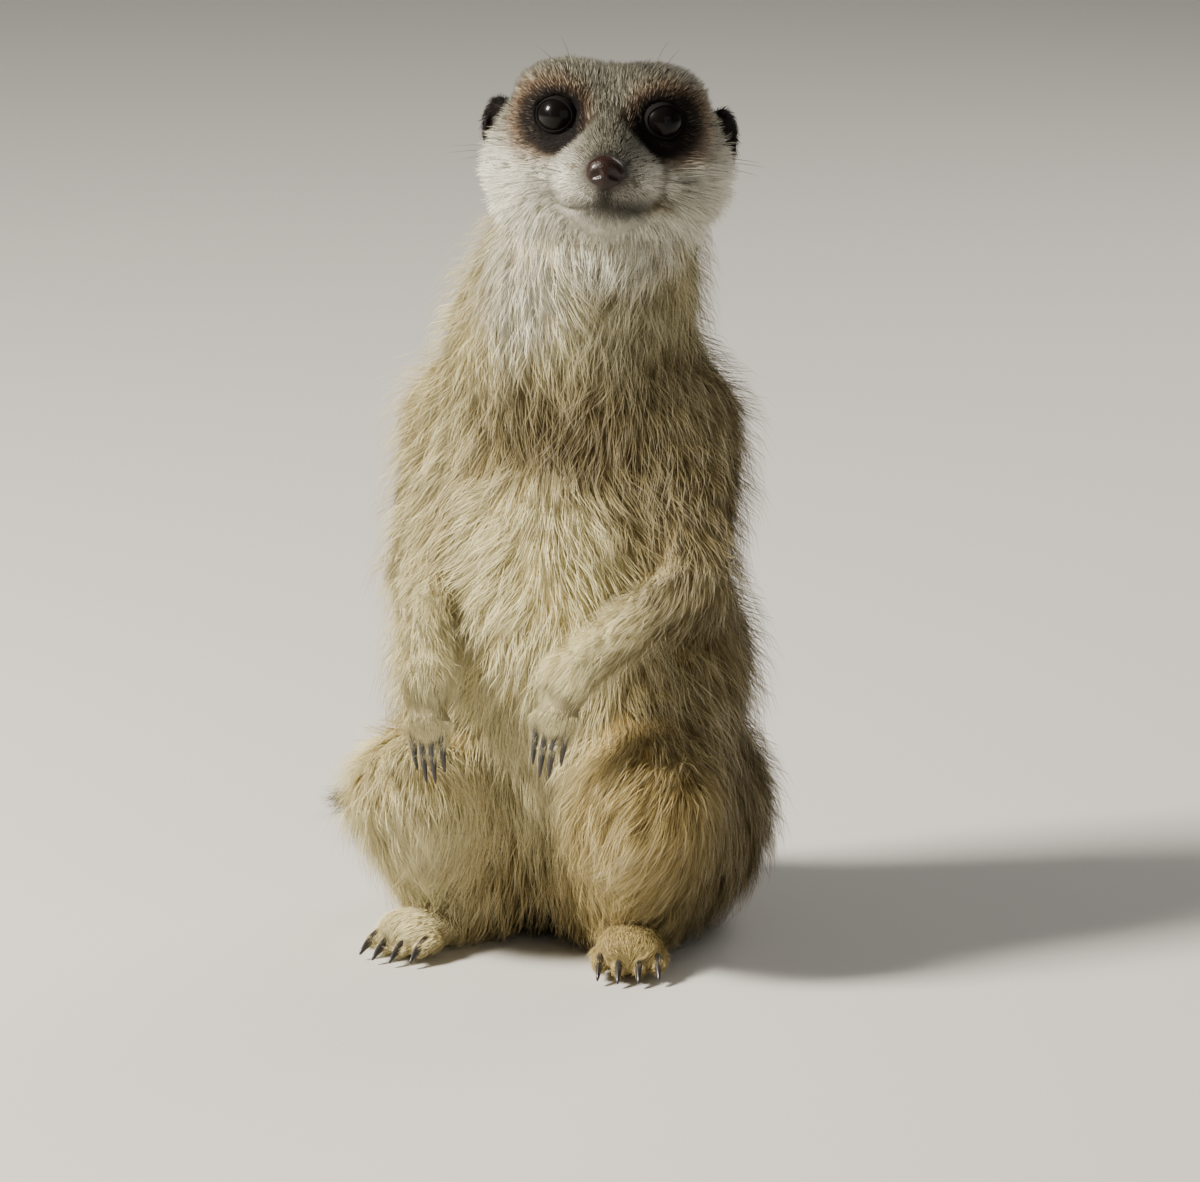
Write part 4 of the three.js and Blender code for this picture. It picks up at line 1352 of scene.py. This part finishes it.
class MEERKAT_OT_coat(Operator):
    """Fur over the skin, in pieces"""

    bl_idname = "meerkat.coat"
    bl_label = "Coat"

    def execute(self, context):
        fur, skin = fur_material(), skin_store["skin"]
        owner = skin.piece[skin.quads[:, 0]]
        for index, (piece, most) in enumerate(PIECES.items()):
            stretch = skin._replace(quads=skin.quads[owner == index])
            count = grow_coat(piece, stretch, most, UNROLL[piece], context.scene.meerkat_coat, fur)
            print(f"coat_{piece}: {count} triangles")
        return {"FINISHED"}


class MEERKAT_OT_eyes(Operator):
    """Eyeballs and lids"""

    bl_idname = "meerkat.eyes"
    bl_label = "Eyes and lids"

    def execute(self, context):
        settings = context.scene.meerkat_face
        glossy = eye_material(settings)
        lid = plain_material("lid", settings.lid, 0.8, specular=0.08)
        for side in SIDES:
            make_eyeball(side, glossy)
            make_lids(side, lid)
        return {"FINISHED"}


class MEERKAT_OT_nose(Operator):
    """Nose leather with its nostrils"""

    bl_idname = "meerkat.nose"
    bl_label = "Nose"

    def execute(self, context):
        leather = plain_material("nose leather", context.scene.meerkat_face.leather, 0.42, 0.18, 0.2)
        give_relief(leather, "ShaderNodeTexVoronoi", "Distance", 0.35, 0.0003, Scale=1500.0)
        points, _, quads = surface_on_head(nose_field, NOSE, 7.5, 0.28)
        obj = new_object("nose_leather_pad", points, triangles_of(quads))
        finish_piece(obj, leather, "nose_leather", "nose")
        return {"FINISHED"}


class MEERKAT_OT_ears(Operator):
    """Ears and the hair on them"""

    bl_idname = "meerkat.ears"
    bl_label = "Ears"

    def execute(self, context):
        material = plain_material("ear", PALETTE["umber"][0], 0.8, specular=0.15)
        for side in SIDES:
            make_ear(side, material, fur_material(), context.scene.meerkat_coat)
        return {"FINISHED"}


class MEERKAT_OT_whiskers(Operator):
    """Whiskers of the muzzle and brows"""

    bl_idname = "meerkat.whiskers"
    bl_label = "Whiskers"

    def execute(self, context):
        radii = 0.085 * (1 - WHISKER_STEPS) ** 0.6 + 0.015
        points, faces = joined([hair_tube(path, radii) for path in whisker_paths(context.scene.meerkat_face)])
        obj = new_object("whiskers", points, faces)
        finish_piece(obj, plain_material("whisker", (0.05, 0.04, 0.03), 0.4), "dark_fur")
        return {"FINISHED"}


class MEERKAT_OT_claws(Operator):
    """Claws of the hands and feet"""

    bl_idname = "meerkat.claws"
    bl_label = "Claws"

    def execute(self, context):
        horn = plain_material("claw horn", context.scene.meerkat_claws.horn, 0.3, coat=0.2)
        for limb in ("hand", "foot"):
            for side in SIDES:
                points, faces = joined(list(paw_claws(limb, side)))
                obj = new_object(f"claws_{limb}_{side}", points, faces)
                finish_piece(obj, horn, "claw", *[f"{limb}_claw_{side}_{n}" for n in (1, 2, 3, 4)])
        return {"FINISHED"}


# The backdrop: how far it reaches, where the floor starts to curve up, and the radius of the curve
BACKDROP, FLOOR_END, CURVE = 9000, 4000, 900


class MEERKAT_OT_stage(Operator):
    """Floor, lights and camera"""

    bl_idname = "meerkat.stage"
    bl_label = "Stage"

    def execute(self, context):
        scene = context.scene
        settings = scene.meerkat_stage
        bend = [(FLOOR_END + CURVE * np.sin(a), CURVE - CURVE * np.cos(a))
                for a in np.radians(np.arange(0, 91, 6))]
        y, z = np.array([(-BACKDROP, 0), *bend, (FLOOR_END + CURVE, BACKDROP)]).T
        points = np.stack([np.repeat(vec(-BACKDROP, BACKDROP), len(y)), np.tile(y, 2), np.tile(z, 2)], 1)
        backdrop = new_object("backdrop", points, grid_faces(2, len(y), closed=False)[:, ::-1])
        backdrop.data.materials.append(plain_material("backdrop", settings.floor, 0.9))

        scene.world = bpy.data.worlds.new("studio")
        scene.world.use_nodes = True
        background = scene.world.node_tree.nodes["Background"]
        background.inputs["Color"].default_value = (0.94, 0.96, 1.0, 1)
        background.inputs["Strength"].default_value = 0.12

        middle = Vector((0, 0, 0.130))
        for name, power, size, place, tint in (
            ("key", settings.key, 0.45, (-1.25, -0.85, 1.25), (1.0, 0.94, 0.84)),
            ("fill", settings.fill, 1.2, (1.3, -1.1, 0.5), (1.0, 0.97, 0.92)),
            ("rim", settings.fill * 3, 0.8, (0.5, 1.3, 1.1), (1.0, 0.96, 0.9)),
        ):
            light = bpy.data.lights.new(name, "AREA")
            light.energy, light.size, light.color = power, size, tint
            self.put(scene, name, light, Vector(place), Vector(place) - middle)

        a, e = settings.azimuth, settings.elevation
        back = Vector((np.sin(a) * np.cos(e), -np.cos(a) * np.cos(e), np.sin(e)))
        camera = bpy.data.cameras.new("camera")
        camera.lens, camera.sensor_width = settings.lens, 36.0
        camera.shift_x, camera.shift_y = 0.0283, -0.0725
        camera.clip_end = 50
        scene.camera = self.put(scene, "camera", camera, middle + settings.distance * back, back)
        return {"FINISHED"}

    @staticmethod
    def put(scene, name, data, place, back):
        """A light or camera at a place, with its back that way."""
        obj = bpy.data.objects.new(name, data)
        obj.location = place
        obj.rotation_euler = back.to_track_quat("Z", "Y").to_euler()
        scene.collection.objects.link(obj)
        return obj


OPERATORS = [MEERKAT_OT_skin, MEERKAT_OT_eyes, MEERKAT_OT_nose, MEERKAT_OT_ears, MEERKAT_OT_whiskers,
             MEERKAT_OT_claws, MEERKAT_OT_coat, MEERKAT_OT_stage]
SETTINGS = {"meerkat_palette": MeerkatPalette, "meerkat_skin": MeerkatSkin, "meerkat_coat": MeerkatCoat,
            "meerkat_face": MeerkatFace, "meerkat_claws": MeerkatClaws, "meerkat_stage": MeerkatStage}


class MEERKAT_PT_panel(Panel):
    """The settings and the pieces"""

    bl_label = "Sitting Meerkat"
    bl_idname = "MEERKAT_PT_panel"
    bl_space_type = "VIEW_3D"
    bl_region_type = "UI"
    bl_category = "Meerkat"

    def draw(self, context):
        for name, group in SETTINGS.items():
            box = self.layout.box()
            box.label(text=group.__doc__)
            for key in group.bl_rna.properties.keys():
                if key not in ("rna_type", "name"):
                    box.prop(getattr(context.scene, name), key)
        for operator in OPERATORS:
            self.layout.operator(operator.bl_idname)


def register():
    for cls in (*SETTINGS.values(), *OPERATORS, MEERKAT_PT_panel):
        bpy.utils.register_class(cls)
    for name, group in SETTINGS.items():
        setattr(bpy.types.Scene, name, PointerProperty(type=group))


def unregister():
    for name in SETTINGS:
        delattr(bpy.types.Scene, name)
    for cls in reversed((*SETTINGS.values(), *OPERATORS, MEERKAT_PT_panel)):
        bpy.utils.unregister_class(cls)


def main():
    """Builds every piece."""
    register()
    for operator in OPERATORS:
        group, name = operator.bl_idname.split(".")
        getattr(getattr(bpy.ops, group), name)()


if __name__ == "__main__":
    main()
